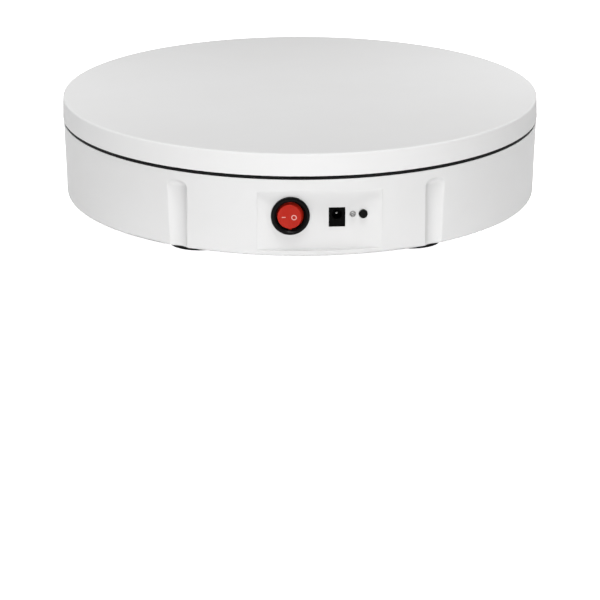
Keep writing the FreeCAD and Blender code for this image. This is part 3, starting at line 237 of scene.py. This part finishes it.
# stretch draws the marks out across the axis with the largest figure
def metal(name, base, stain, rough, markScale=900.0, stretch=(1, 1, 1), depth=0.000002):
    material, tree, shader, coords = startMaterial(name)
    out = placeGroup(tree, metalGroup, {
        "Coords": stretched(tree, coords, *stretch), "Base": base, "Stain": stain, "Mark Scale": markScale,
        "Rough Low": rough[0], "Rough High": rough[1],
    })
    feed(tree, shader.inputs["Base Color"], out["Color"])
    feed(tree, shader.inputs["Roughness"], out["Roughness"])
    shader.inputs["Metallic"].default_value = 1.0
    addBump(tree, shader, out["Height"], depth)
    return material


finish = {
    "shellWhite": plastic("shellWhite", grey(0.658), grey(0.643, 0.003), (0.36, 0.44), 0.00035, 0.000006,
                          drift=14.0),
    "platterWhite": plastic("platterWhite", grey(0.692), grey(0.676, 0.003), (0.54, 0.62), 0.00035, 0.000006,
                            drift=9.0, specular=0.14),
    "footRubber": plastic("footRubber", grey(0.004), grey(0.008), (0.62, 0.8), 0.0006, 0.00003, dust=0.02,
                          specular=0.12),
    "chassisBlack": plastic("chassisBlack", grey(0.006), grey(0.01), (0.5, 0.65), 0.0005, 0.00001,
                            specular=0.15),
    "rollerNylon": plastic("rollerNylon", grey(0.62, 0.03), grey(0.55, 0.04), (0.4, 0.55), 0.0004, 0.000008),
    "gearAcetal": plastic("gearAcetal", grey(0.7, 0.02), grey(0.64, 0.03), (0.3, 0.42), 0.0005, 0.000006),
    "switchBlack": plastic("switchBlack", grey(0.003), grey(0.005), (0.28, 0.38), 0.0004, 0.000006,
                           specular=0.1),
    "rockerRed": plastic("rockerRed", (0.42, 0.018, 0.008, 1), (0.36, 0.013, 0.006, 1), (0.26, 0.36),
                         0.0003, 0.000004, specular=0.18),
    "jackBlack": plastic("jackBlack", grey(0.0015), grey(0.003), (0.5, 0.65), 0.00035, 0.00001,
                         specular=0.04),
    "buttonBlack": plastic("buttonBlack", grey(0.002), grey(0.004), (0.22, 0.32), 0.0004, 0.000003,
                           specular=0.08),
    "chipBlack": plastic("chipBlack", grey(0.014), grey(0.022), (0.5, 0.65), 0.00015, 0.000008, drift=200.0),
    "capacitorSleeve": plastic("capacitorSleeve", (0.012, 0.016, 0.06, 1), (0.02, 0.025, 0.08, 1), (0.2, 0.3),
                               0.0006, 0.000004, drift=150.0),
    "connectorWhite": plastic("connectorWhite", grey(0.66, 0.03), grey(0.6, 0.04), (0.38, 0.5), 0.0004,
                              0.000006),
    "leadRed": plastic("leadRed", (0.4, 0.012, 0.01, 1), (0.3, 0.01, 0.008, 1), (0.36, 0.5), 0.0004, 0.00001,
                       drift=90.0),
    "leadBlack": plastic("leadBlack", grey(0.012), grey(0.02), (0.36, 0.5), 0.0004, 0.00001, drift=90.0),
    "leadGrey": plastic("leadGrey", grey(0.16), grey(0.2), (0.4, 0.55), 0.0004, 0.00001, drift=90.0),
    "boardGreen": plastic("boardGreen", (0.012, 0.12, 0.04, 1), (0.018, 0.17, 0.06, 1), (0.22, 0.34), 0.0012,
                          0.00002, drift=420.0),
    "markWhite": plastic("markWhite", (0.72, 0.42, 0.38, 1), (0.66, 0.36, 0.33, 1), (0.3, 0.42), 0.0003,
                         0.000004),
    "screwSteel": metal("screwSteel", grey(0.5, 0.02), grey(0.3, 0.03), (0.28, 0.42), 1400.0),
    "groundSteel": metal("groundSteel", grey(0.6), grey(0.44, 0.01), (0.18, 0.3), 700.0, (1, 1, 8)),
    "springSteel": metal("springSteel", grey(0.07), grey(0.04), (0.3, 0.45), 1200.0),
    "bearingSteel": metal("bearingSteel", grey(0.66), grey(0.5), (0.08, 0.18), 900.0, (1, 1, 12)),
    "cageBrass": metal("cageBrass", (0.62, 0.42, 0.16, 1), (0.4, 0.24, 0.09, 1), (0.22, 0.36), 1100.0),
    "motorZinc": metal("motorZinc", grey(0.58), grey(0.42, 0.01), (0.3, 0.46), 420.0, (1, 1, 5)),
    "windingCopper": metal("windingCopper", (0.6, 0.22, 0.09, 1), (0.36, 0.1, 0.04, 1), (0.2, 0.34), 500.0,
                           (1, 1, 14), 0.00008),
    "terminalTin": metal("terminalTin", grey(0.62, 0.01), grey(0.45, 0.02), (0.24, 0.4), 1600.0),
    "pinNickel": metal("pinNickel", grey(0.36, 0.02), grey(0.22, 0.03), (0.2, 0.32), 1500.0),
}


# clear lens, clouded by what is moulded inside it
lampGlass = {"dark": grey(0.34), "light": grey(0.6), "cloudScale": 900.0, "rough": (0.1, 0.22), "clear": 0.75}


def makeLampClear():
    material, tree, shader, coords = startMaterial("lampClear")
    cloud = noise(tree, coords, lampGlass["cloudScale"], 4.0, 0.6)
    feed(tree, shader.inputs["Base Color"], blendColour(tree, cloud, lampGlass["dark"], lampGlass["light"]))
    feed(tree, shader.inputs["Roughness"], remap(tree, cloud, 0.3, 0.7, *lampGlass["rough"]))
    shader.inputs["Transmission Weight"].default_value = lampGlass["clear"]
    shader.inputs["IOR"].default_value = 1.5
    addBump(tree, shader, cloud, 0.00001)
    return material


finish["lampClear"] = makeLampClear()
print("materials ready:", len(finish))

finishOfSlot = {
    "shell_white": "shellWhite", "platter_white": "platterWhite", "foot_rubber": "footRubber",
    "chassis_black": "chassisBlack", "roller_nylon": "rollerNylon", "gear_acetal": "gearAcetal",
    "screw_steel": "screwSteel", "ground_steel": "groundSteel", "spring_steel": "springSteel",
    "bearing_steel": "bearingSteel", "cage_brass": "cageBrass", "motor_zinc": "motorZinc",
    "winding_copper": "windingCopper", "switch_black": "switchBlack", "rocker_red": "rockerRed",
    "terminal_tin": "terminalTin", "jack_black": "jackBlack", "pin_nickel": "pinNickel",
    "lamp_clear": "lampClear", "button_black": "buttonBlack", "board_green": "boardGreen",
    "chip_black": "chipBlack", "capacitor_sleeve": "capacitorSleeve", "connector_white": "connectorWhite",
    "lead_red": "leadRed", "lead_black": "leadBlack", "lead_grey": "leadGrey",
}

for part in frame["record"]["subparts"]:
    piece = nodes[part["node"]]
    for place in piece.material_slots:
        place.material = finish[finishOfSlot[part["material_slot"]]]
print("finishes placed on the frame's nodes")


# mesh building: small helpers that every added piece uses

mm = 0.001
smoothTo = math.radians(35)  # edges sharper than this stay crisp
flip = Matrix.Rotation(math.pi, 4, "X")  # local +Z to -Z
outOfPanel = Matrix.Rotation(math.radians(90), 4, "X")  # local +Z to -Y
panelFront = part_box("power_jack")[0].y


def intoScene(name, sheet, body, finishName):
    bmesh.ops.recalc_face_normals(sheet, faces=sheet.faces)
    mesh = bpy.data.meshes.new(name)
    sheet.to_mesh(mesh)
    sheet.free()
    mesh.materials.append(finish[finishName])
    mesh.shade_smooth()
    mesh.set_sharp_from_angle(angle=smoothTo)
    piece = bpy.data.objects.new(name, mesh)
    bpy.context.collection.objects.link(piece)
    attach(piece, body)


# turns an outline of (radius, height) pairs about Z, then puts it in its place
def lathe(sheet, outline, place, closed=False, steps=48):
    rings = []
    for radius, height in outline:
        if radius == 0:
            rings.append([sheet.verts.new(place @ Vector((0, 0, height)))] * steps)
        else:
            turns = [2 * math.pi * n / steps for n in range(steps)]
            spots = [Vector((radius * math.cos(t), radius * math.sin(t), height)) for t in turns]
            rings.append([sheet.verts.new(place @ spot) for spot in spots])
    pairs = list(zip(rings, rings[1:]))
    if closed:
        pairs.append((rings[-1], rings[0]))
    for near, far in pairs:
        for n in range(steps):
            m = (n + 1) % steps
            corners = list(dict.fromkeys([near[n], near[m], far[m], far[n]]))
            if len(corners) > 2:
                sheet.faces.new(corners)


# a half-round bead as an outline for lathe: its middle radius and height, how wide and how proud it is
def bead(radius, height, width, proud, points=9):
    turns = [math.pi * n / (points - 1) for n in range(points)]
    return [(radius + width / 2 * math.cos(t), height + proud * math.sin(t)) for t in turns]


# a flat strip that follows points; side is the direction of its width
def bentStrip(sheet, points, side, width, thick):
    points = [Vector(p) for p in points]
    side = Vector(side).normalized()
    corners = ((-1, -1), (1, -1), (1, 1), (-1, 1))
    rows = []
    for n, point in enumerate(points):
        before = points[max(n - 1, 0)]
        after = points[min(n + 1, len(points) - 1)]
        up = (after - before).cross(side).normalized() * thick / 2
        out = side * width / 2
        rows.append([sheet.verts.new(point + a * out + b * up) for a, b in corners])
    for near, far in zip(rows, rows[1:]):
        for n in range(4):
            sheet.faces.new([near[n], near[(n + 1) % 4], far[(n + 1) % 4], far[n]])
    sheet.faces.new(rows[0])
    sheet.faces.new(rows[-1])


# a block with eased edges
def easedBlock(sheet, low, high, ease):
    middle = (Vector(low) + Vector(high)) / 2
    size = Vector(high) - Vector(low)
    made = bmesh.ops.create_cube(sheet, size=1.0, matrix=Matrix.LocRotScale(middle, None, size))
    edges = {edge for vert in made["verts"] for edge in vert.link_edges}
    bmesh.ops.bevel(sheet, geom=list(edges), offset=ease, segments=2, profile=0.5, affect="EDGES")


# the box of each separate solid in a node, in the order of their places
def solidBoxes(name):
    sheet = bmesh.new()
    sheet.from_mesh(nodes[name].data)
    bmesh.ops.remove_doubles(sheet, verts=sheet.verts, dist=0.00001)
    left = set(sheet.verts)
    boxes = []
    while left:
        grown, queue = set(), [left.pop()]
        while queue:
            vert = queue.pop()
            grown.add(vert)
            for edge in vert.link_edges:
                other = edge.other_vert(vert)
                if other in left:
                    left.discard(other)
                    queue.append(other)
        places = [v.co for v in grown]
        boxes.append((Vector(min(p[n] for p in places) for n in range(3)),
                      Vector(max(p[n] for p in places) for n in range(3))))
    sheet.free()
    return sorted(boxes, key=lambda box: (round(box[0].x, 5), round(box[0].y, 5)))


def middleOf(box):
    return (box[0] + box[1]) / 2


# an outline in millimetres, turned into metres
def inMetres(outline):
    return [(a * mm, b * mm) for a, b in outline]


# rocker: moulded-in marks that follow its two sloping halves
rockerMarks = {
    "ringOffset": 2.0 * mm, "ringRadius": 1.32 * mm, "ringPoints": 40, "barOffset": -4.0 * mm,
    "barLength": 2.2 * mm, "barPoints": 9, "drop": 0.35 * mm, "stroke": 0.48 * mm, "proud": 0.07 * mm,
    "sunk": 0.12 * mm, "start": 30 * mm,
}


def onRocker(x, z, above):
    rocker = nodes["switch_rocker"]
    before = Vector((x, panelFront - rockerMarks["start"], z))
    hit, place, normal, _ = rocker.ray_cast(before, Vector((0, 1, 0)))
    return place + normal * above if hit else None


# a band along a line on the rocker's face: six edges across it, the outer two sunk below the face
def rockerBand(sheet, line, closed):
    stroke, proud, sunk = rockerMarks["stroke"], rockerMarks["proud"], rockerMarks["sunk"]
    sides = [(-0.5, -sunk), (-0.5, proud * 0.6), (-0.36, proud)]
    sides += [(-across, above) for across, above in reversed(sides)]
    rows = []
    for (x, z), (outX, outZ) in line:
        spots = [onRocker(x + outX * stroke * a, z + outZ * stroke * a, b) for a, b in sides]
        rows.append([sheet.verts.new(spot) for spot in spots])
    pairs = list(zip(rows, rows[1:]))
    if closed:
        pairs.append((rows[-1], rows[0]))
    count = len(sides)
    for near, far in pairs:
        for n in range(count):
            sheet.faces.new([near[n], near[(n + 1) % count], far[(n + 1) % count], far[n]])
    if not closed:
        sheet.faces.new(rows[0])
        sheet.faces.new(rows[-1])


def makeRockerMarks():
    centre = middleOf(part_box("switch_bezel"))
    centre.z -= rockerMarks["drop"]
    ring = []
    for n in range(rockerMarks["ringPoints"]):
        turn = 2 * math.pi * n / rockerMarks["ringPoints"]
        out = (math.cos(turn), math.sin(turn))
        x = centre.x + rockerMarks["ringOffset"] + rockerMarks["ringRadius"] * out[0]
        ring.append(((x, centre.z + rockerMarks["ringRadius"] * out[1]), out))
    sheet = bmesh.new()
    rockerBand(sheet, ring, True)
    intoScene("rockerRingMark", sheet, "rocker", "markWhite")
    half = rockerMarks["barPoints"] // 2
    step = rockerMarks["barLength"] / 2 / half
    start = centre.x + rockerMarks["barOffset"]
    sheet = bmesh.new()
    rockerBand(sheet, [((start + step * n, centre.z), (0, 1)) for n in range(-half, half + 1)], False)
    intoScene("rockerBarMark", sheet, "rocker", "markWhite")


# bezel: a fine raised bead where its face turns down to the rocker
bezelLip = {"radius": 10.15 * mm, "height": -0.12 * mm, "width": 0.34 * mm, "proud": 0.1 * mm, "steps": 96}


def makeBezelBead():
    centre = middleOf(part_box("switch_bezel"))
    centre.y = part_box("switch_bezel")[0].y
    outline = bead(bezelLip["radius"], bezelLip["height"], bezelLip["width"], bezelLip["proud"])
    sheet = bmesh.new()
    lathe(sheet, outline, Matrix.Translation(centre) @ outOfPanel, closed=True, steps=bezelLip["steps"])
    intoScene("bezelBead", sheet, "base", "switchBlack")


# power jack: a sprung leaf in the bore and a turned shoulder round its mouth; the leaf's line is depth and
# rise, the shoulder's outline is how far past the bore and how high, both in mm
jackFit = {
    "boreRadius": 3.15 * mm, "leafWidth": 2.0 * mm, "leafThick": 0.22 * mm,
    "leaf": [(9.3, 0.16), (8.2, 0.18), (6.9, 0.8), (6.1, 0.95), (5.4, 0.75), (4.6, 0.2)],
    "shoulder": [(0.02, -0.9), (-0.25, -0.75), (-0.25, -0.45), (0.02, -0.3)],
}


def makeJackInside():
    pin = middleOf(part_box("power_jack_pin"))
    bore, front = jackFit["boreRadius"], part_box("power_jack")[0].y
    leaf = [(pin.x, front + depth, pin.z - bore + rise) for depth, rise in inMetres(jackFit["leaf"])]
    sheet = bmesh.new()
    bentStrip(sheet, leaf, (1, 0, 0), jackFit["leafWidth"], jackFit["leafThick"])
    intoScene("jackLeaf", sheet, "base", "pinNickel")
    shoulder = [(bore + past, height) for past, height in inMetres(jackFit["shoulder"])]
    sheet = bmesh.new()
    lathe(sheet, shoulder, Matrix.Translation((pin.x, front, pin.z)) @ outOfPanel, closed=True)
    intoScene("jackShoulder", sheet, "base", "jackBlack")


# lamp: the cup and wire posts that show through the clear lens; outlines in mm
lampFit = {
    "setBack": 0.6 * mm, "postOffset": 0.62 * mm, "postDrop": 1.9 * mm, "cupSteps": 32, "postSteps": 10,
    "cup": [(0, 0), (0.45, 0), (0.95, 0.62), (1.08, 0.62), (0.62, -0.25), (0, -0.25)],
    "post": [(0, 0), (0.22, 0), (0.22, 1.6), (0, 1.7)],
}


def makeLampInside():
    centre = middleOf(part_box("indicator_lamp"))
    centre.y = panelFront + lampFit["setBack"]
    place = Matrix.Translation(centre) @ outOfPanel
    sheet = bmesh.new()
    lathe(sheet, inMetres(lampFit["cup"]), place, steps=lampFit["cupSteps"])
    intoScene("lampCup", sheet, "base", "terminalTin")
    sheet = bmesh.new()
    for side in (-1, 1):
        foot = Matrix.Translation((side * lampFit["postOffset"], 0, -lampFit["postDrop"]))
        lathe(sheet, inMetres(lampFit["post"]), place @ foot, steps=lampFit["postSteps"])
    intoScene("lampPosts", sheet, "base", "terminalTin")


# feet: moulded rings inside the dished sole
footTread = {
    "feet": 6, "rings": (2.6 * mm, 4.8 * mm, 7.0 * mm), "width": 1.1 * mm, "proud": 0.42 * mm,
    "dish": 0.5 * mm, "sunk": 0.02 * mm,
}


def makeFootTreads():
    for n in range(1, footTread["feet"] + 1):
        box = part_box(f"rubber_foot_{n}")
        centre = middleOf(box)
        centre.z = box[0].z
        sheet = bmesh.new()
        for radius in footTread["rings"]:
            height = -footTread["dish"] - footTread["sunk"]
            ring = bead(radius, height, footTread["width"], footTread["proud"])
            lathe(sheet, ring, Matrix.Translation(centre) @ flip, closed=True)
        intoScene(f"footTread{n}", sheet, "base", "footRubber")


# underside of the base: the gate's stub, ejector pin witness rings and a blank framed field
underside = {
    "proud": 0.25 * mm, "gateRadius": 1.6 * mm, "gateSunk": 0.1 * mm,
    "pins": 8, "pinCircle": 52 * mm, "pinRadius": 3.5 * mm, "pinWidth": 0.35 * mm, "pinProud": 0.1 * mm,
    "pinSunk": 0.03 * mm, "pinSteps": 32,
    "field": (56 * mm, 30 * mm), "fieldY": -74 * mm, "fieldSunk": 0.05 * mm, "lineWidth": 0.8 * mm,
    "fieldSteps": 64,
}


def makeMouldMarks():
    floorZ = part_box("base_shell")[0].z
    proud, gate, circle = underside["proud"], underside["gateRadius"], underside["pinCircle"]
    stub = [(gate, -underside["gateSunk"]), (gate * 0.9, proud * 2), (gate * 0.35, proud * 2.2),
            (0, proud * 1.7)]
    sheet = bmesh.new()
    lathe(sheet, stub, Matrix.Translation((0, 0, floorZ)) @ flip)
    ring = bead(underside["pinRadius"], -underside["pinSunk"], underside["pinWidth"], underside["pinProud"])
    for n in range(underside["pins"]):
        turn = 2 * math.pi * (n + 0.5) / underside["pins"]
        spot = Vector((circle * math.cos(turn), circle * math.sin(turn), floorZ))
        lathe(sheet, ring, Matrix.Translation(spot) @ flip, closed=True, steps=underside["pinSteps"])
    intoScene("mouldMarks", sheet, "base", "shellWhite")


# the field's frame is a ring of radius 1, drawn out to the field's width and height
def makeBlankField():
    wide, tall = underside["field"]
    line, proud, sunk = underside["lineWidth"] / 2 / wide, underside["proud"], -underside["fieldSunk"]
    frameOutline = [(1 + line * 2, sunk), (1 + line, proud), (1 - line, proud), (1 - line * 2, sunk)]
    place = Matrix.Translation((0, underside["fieldY"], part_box("base_shell")[0].z))
    drawnOut = Matrix.Diagonal((wide / 2, tall / 2, 1, 1))
    sheet = bmesh.new()
    lathe(sheet, frameOutline, place @ flip @ drawnOut, closed=True, steps=underside["fieldSteps"])
    intoScene("blankField", sheet, "base", "shellWhite")


# circuit board: the chips' gull-wing legs
chipLeg = {"pitch": 0.8 * mm, "width": 0.34 * mm, "thick": 0.13 * mm, "reach": 0.95 * mm, "margin": 0.6 * mm}


def makeChipLegs():
    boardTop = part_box("circuit_board")[1].z
    half = chipLeg["thick"] / 2
    sheet = bmesh.new()
    for low, high in solidBoxes("controller_chips"):
        waist = (low.z + high.z) / 2
        count = int((high.y - low.y - chipLeg["margin"]) / chipLeg["pitch"]) + 1
        start = (low.y + high.y) / 2 - (count - 1) * chipLeg["pitch"] / 2
        drop = [(-0.1 * mm, waist), (0.3 * mm, waist), (0.42 * mm, waist - 0.1 * mm),
                (0.5 * mm, boardTop + half * 3), (0.6 * mm, boardTop + half),
                (chipLeg["reach"], boardTop + half)]
        for x, out in ((low.x, -1), (high.x, 1)):
            for n in range(count):
                y = start + n * chipLeg["pitch"]
                bend = [(x + out * reach, y, z) for reach, z in drop]
                bentStrip(sheet, bend, (0, 1, 0), chipLeg["width"], chipLeg["thick"])
    intoScene("chipLegs", sheet, "base", "terminalTin")


# solder on the board's underside, wider where the power jack's tabs come through
joint = {
    "radius": 0.95 * mm, "height": 0.6 * mm, "sunk": 0.02 * mm, "tabWiden": 1.6, "stemBack": 0.3 * mm,
    "steps": 20,
}


def makeSolderJoints():
    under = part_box("circuit_board")[0].z
    tall, sunk = joint["height"], -joint["sunk"]
    sheet = bmesh.new()
    for name in ("power_jack_tabs", "indicator_leads", "button_switch_legs"):
        wide = joint["radius"] * (joint["tabWiden"] if name == "power_jack_tabs" else 1.0)
        cone = [(0, sunk), (wide, sunk), (wide * 0.8, tall * 0.22), (wide * 0.5, tall * 0.7),
                (wide * 0.28, tall), (0, tall)]
        for low, high in solidBoxes(name):
            stem = Vector(((low.x + high.x) / 2, high.y - joint["stemBack"], under))
            if name == "button_switch_legs":
                stem.y = (low.y + high.y) / 2
            lathe(sheet, cone, Matrix.Translation(stem) @ flip, steps=joint["steps"])
    intoScene("solderJoints", sheet, "base", "terminalTin")


# copper under the green resist; each pair is the first line's place and the step to the next one
copper = {
    "width": 0.5 * mm, "thick": 0.05 * mm, "tuck": 0.4 * mm,
    "plugLines": 6, "firstPlugLines": 2, "slope": 0.35, "plugStart": (0.9 * mm, 1.05 * mm),
    "plugTurn": (0.8 * mm, 0.55 * mm), "plugEnd": (1.5 * mm, 1.9 * mm),
    "panelLines": 4, "panelStart": (1.4 * mm, 1.3 * mm), "panelTurn": (0.8 * mm, 0.7 * mm),
    "panelBend": (3 * mm, 1 * mm), "panelDrop": (2.8 * mm, 0.9 * mm), "panelEnd": (4 * mm, 1 * mm),
    "panelGap": 9.5 * mm,
}


def copperStep(name, n):
    first, step = copper[name]
    return first + step * n


def makeCopperLines():
    low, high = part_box("circuit_board")
    wide, thick, tuck = copper["width"], copper["thick"], copper["tuck"]
    top = high.z + thick / 2
    chip = solidBoxes("controller_chips")[0]
    plugs = solidBoxes("lead_connectors")
    sheet = bmesh.new()
    # from the chip's back to the plugs
    for n in range(copper["plugLines"]):
        toFirst = n < copper["firstPlugLines"]
        plug = plugs[0] if toFirst else plugs[-1]
        x = chip[0].x + copperStep("plugStart", n)
        end = plug[0].x + copperStep("plugEnd", n if toFirst else n - copper["firstPlugLines"])
        turn = chip[1].y + copperStep("plugTurn", n)
        last = plug[0].y + tuck
        slant = turn + abs(end - x) * copper["slope"]
        line = [(x, chip[1].y - tuck, top), (x, turn, top), (end, min(slant, last), top), (end, last, top)]
        bentStrip(sheet, line, (1, 0.2, 0), wide, thick)
    # from the chip's front towards the panel
    for n in range(copper["panelLines"]):
        x, front = chip[0].x + copperStep("panelStart", n), chip[0].y
        line = [(x, front + tuck, top), (x, front - copperStep("panelTurn", n), top),
                (x + copperStep("panelBend", n), front - copperStep("panelDrop", n), top),
                (x + copperStep("panelEnd", n), low.y + copper["panelGap"], top)]
        bentStrip(sheet, line, (1, 0.25, 0), wide, thick)
    intoScene("copperLines", sheet, "base", "boardGreen")


# each can's top: a flat cap inside the sleeve's rolled edge, with a scored cross
canTop = {
    "rise": 0.1 * mm, "edge": [(-0.75, 0.1), (-0.55, 0.04), (-0.5, -0.05)], "steps": 32, "turn": 0.5,
    "crossInset": 1.1 * mm, "crossWidth": 0.25 * mm, "crossThick": 0.09 * mm,
}


def makeCapacitorCaps():
    rise = canTop["rise"]
    edge = inMetres(canTop["edge"])
    sheet = bmesh.new()
    for low, high in solidBoxes("capacitors"):
        centre = middleOf((low, high))
        centre.z = high.z
        radius = (high.x - low.x) / 2
        cap = [(0, rise)] + [(radius + inset, height) for inset, height in edge] + [(0, edge[-1][1])]
        lathe(sheet, cap, Matrix.Translation(centre), steps=canTop["steps"])
        spot = centre + Vector((0, 0, rise))
        for turn in (canTop["turn"], canTop["turn"] + math.pi / 2):
            out = Vector((math.cos(turn), math.sin(turn), 0)) * (radius - canTop["crossInset"])
            bentStrip(sheet, [spot - out, spot + out], (-out.y, out.x, 0), canTop["crossWidth"],
                      canTop["crossThick"])
    intoScene("capacitorCaps", sheet, "base", "terminalTin")


# lead plugs: the contacts in their tops and the locking ribs at their fronts
plugFit = {
    "pitch": 2 * mm, "contactHalf": 0.4 * mm, "contactY": (0.9 * mm, 2.3 * mm), "contactSunk": 0.1 * mm,
    "contactRise": 0.06 * mm, "contactEase": 0.04 * mm, "ribInset": 1.0 * mm, "ribHalf": 0.35 * mm,
    "ribProud": 0.3 * mm, "ribSunk": 0.1 * mm, "ribFoot": 0.6 * mm, "ribHead": 0.5 * mm, "ribEase": 0.1 * mm,
}


def makePlugDetail():
    contacts, ribs = bmesh.new(), bmesh.new()
    front, back = plugFit["contactY"]
    for low, high in solidBoxes("lead_connectors"):
        count = int((high.x - low.x) / plugFit["pitch"])
        pitch = (high.x - low.x) / count
        for n in range(count):
            x = low.x + (n + 0.5) * pitch
            near = (x - plugFit["contactHalf"], low.y + front, high.z - plugFit["contactSunk"])
            far = (x + plugFit["contactHalf"], low.y + back, high.z + plugFit["contactRise"])
            easedBlock(contacts, near, far, plugFit["contactEase"])
        for x in (low.x + plugFit["ribInset"], high.x - plugFit["ribInset"]):
            near = (x - plugFit["ribHalf"], low.y - plugFit["ribProud"], low.z + plugFit["ribFoot"])
            far = (x + plugFit["ribHalf"], low.y + plugFit["ribSunk"], high.z - plugFit["ribHead"])
            easedBlock(ribs, near, far, plugFit["ribEase"])
    intoScene("plugContacts", contacts, "base", "terminalTin")
    intoScene("plugRibs", ribs, "base", "connectorWhite")


# motor: the coil's outer turns
coil = {"turns": 22, "inset": 0.5 * mm, "sunk": 0.02 * mm, "wire": 0.16 * mm, "steps": 72}


def makeCoilTurns():
    low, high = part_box("motor_winding")
    centre = middleOf((low, high))
    radius = (high.x - low.x) / 2
    pitch = (high.z - low.z) / coil["turns"]
    outline = [(radius - coil["inset"], low.z), (radius - coil["inset"], high.z)]
    for n in range(coil["turns"]):
        for part in (0.0, 0.25, 0.5, 0.75):
            out = coil["wire"] * math.sin(math.pi * part)
            outline.append((radius - coil["sunk"] + out, high.z - (n + part) * pitch))
    sheet = bmesh.new()
    lathe(sheet, outline, Matrix.Translation((centre.x, centre.y, 0)), closed=True, steps=coil["steps"])
    intoScene("coilTurns", sheet, "base", "windingCopper")


makeRockerMarks()
makeBezelBead()
makeJackInside()
makeLampInside()
print("control panel pieces made")
makeFootTreads()
makeMouldMarks()
makeBlankField()
print("underside pieces made")
makeChipLegs()
makeSolderJoints()
makeCopperLines()
makeCapacitorCaps()
makePlugDetail()
makeCoilTurns()
print("inner pieces made")


# plain pale floor and soft lights
studio = {
    "floorSize": 30.0, "floorLevel": 0.96, "floorShade": 0.985, "floorRough": 0.9, "floorGlow": 1.0,
    "skyLevel": 0.05, "lookAt": (0, 0, 0.03),
    "lights": [  # name, place, size, power, whether it shines in gloss
        ("frontSoftbox", (-0.2, -2.6, 0.45), (0.5, 0.5), 42.0, False),
        ("overheadStrip", (0.0, -0.6, 1.6), (1.0, 0.4), 17.5, True),
        ("backSoftbox", (0.0, 2.4, 1.2), (2.6, 1.0), 7.8, True),
        ("rearPanel", (0.0, 0.8, 0.035), (1.6, 0.05), 3.4, True),
        ("rightPanel", (0.3, 0.08, 0.3), (0.2, 0.3), 0.52, True),
        ("leftPanel", (-0.3, 0.05, 0.3), (0.2, 0.3), 0.42, True),
    ],
}


def makeFloor():
    material, tree, shader, coords = startMaterial("paleFloor")
    drift = noise(tree, coords, 2.0, 3.0, 0.5)
    level = studio["floorLevel"]
    shade = grey(level * studio["floorShade"])
    feed(tree, shader.inputs["Base Color"], blendColour(tree, drift, grey(level), shade))
    shader.inputs["Roughness"].default_value = studio["floorRough"]
    shader.inputs["Specular IOR Level"].default_value = 0.1
    shader.inputs["Emission Color"].default_value = grey(1.0)
    # only the camera sees the glow, so it whitens the floor without lighting the pieces
    eye = addNode(tree, "ShaderNodeLightPath").outputs["Is Camera Ray"]
    feed(tree, shader.inputs["Emission Strength"], maths(tree, "MULTIPLY", eye, studio["floorGlow"]))
    mesh = bpy.data.meshes.new("studioFloor")
    half = studio["floorSize"] / 2
    corners = [(-half, -half, 0), (half, -half, 0), (half, half, 0), (-half, half, 0)]
    mesh.from_pydata(corners, [], [(0, 1, 2, 3)])
    mesh.materials.append(material)
    floor = bpy.data.objects.new("studioFloor", mesh)
    bpy.context.collection.objects.link(floor)


def makeLights():
    world = bpy.data.worlds.new("studioSky")
    bpy.context.scene.world = world
    world.use_nodes = True
    sky = world.node_tree.nodes["Background"]
    sky.inputs["Color"].default_value = grey(1.0)
    sky.inputs["Strength"].default_value = studio["skyLevel"]
    bpy.context.scene.view_settings.view_transform = "Standard"
    for name, place, size, power, shines in studio["lights"]:
        data = bpy.data.lights.new(name, "AREA")
        data.shape = "RECTANGLE"
        data.size, data.size_y = size
        data.energy = power
        lamp = bpy.data.objects.new(name, data)
        bpy.context.collection.objects.link(lamp)
        lamp.location = place
        lamp.visible_camera = False
        lamp.visible_glossy = shines
        aim = Vector(studio["lookAt"]) - Vector(place)
        lamp.rotation_euler = aim.to_track_quat("-Z", "Y").to_euler()


makeFloor()
makeLights()
print("floor and lights ready")
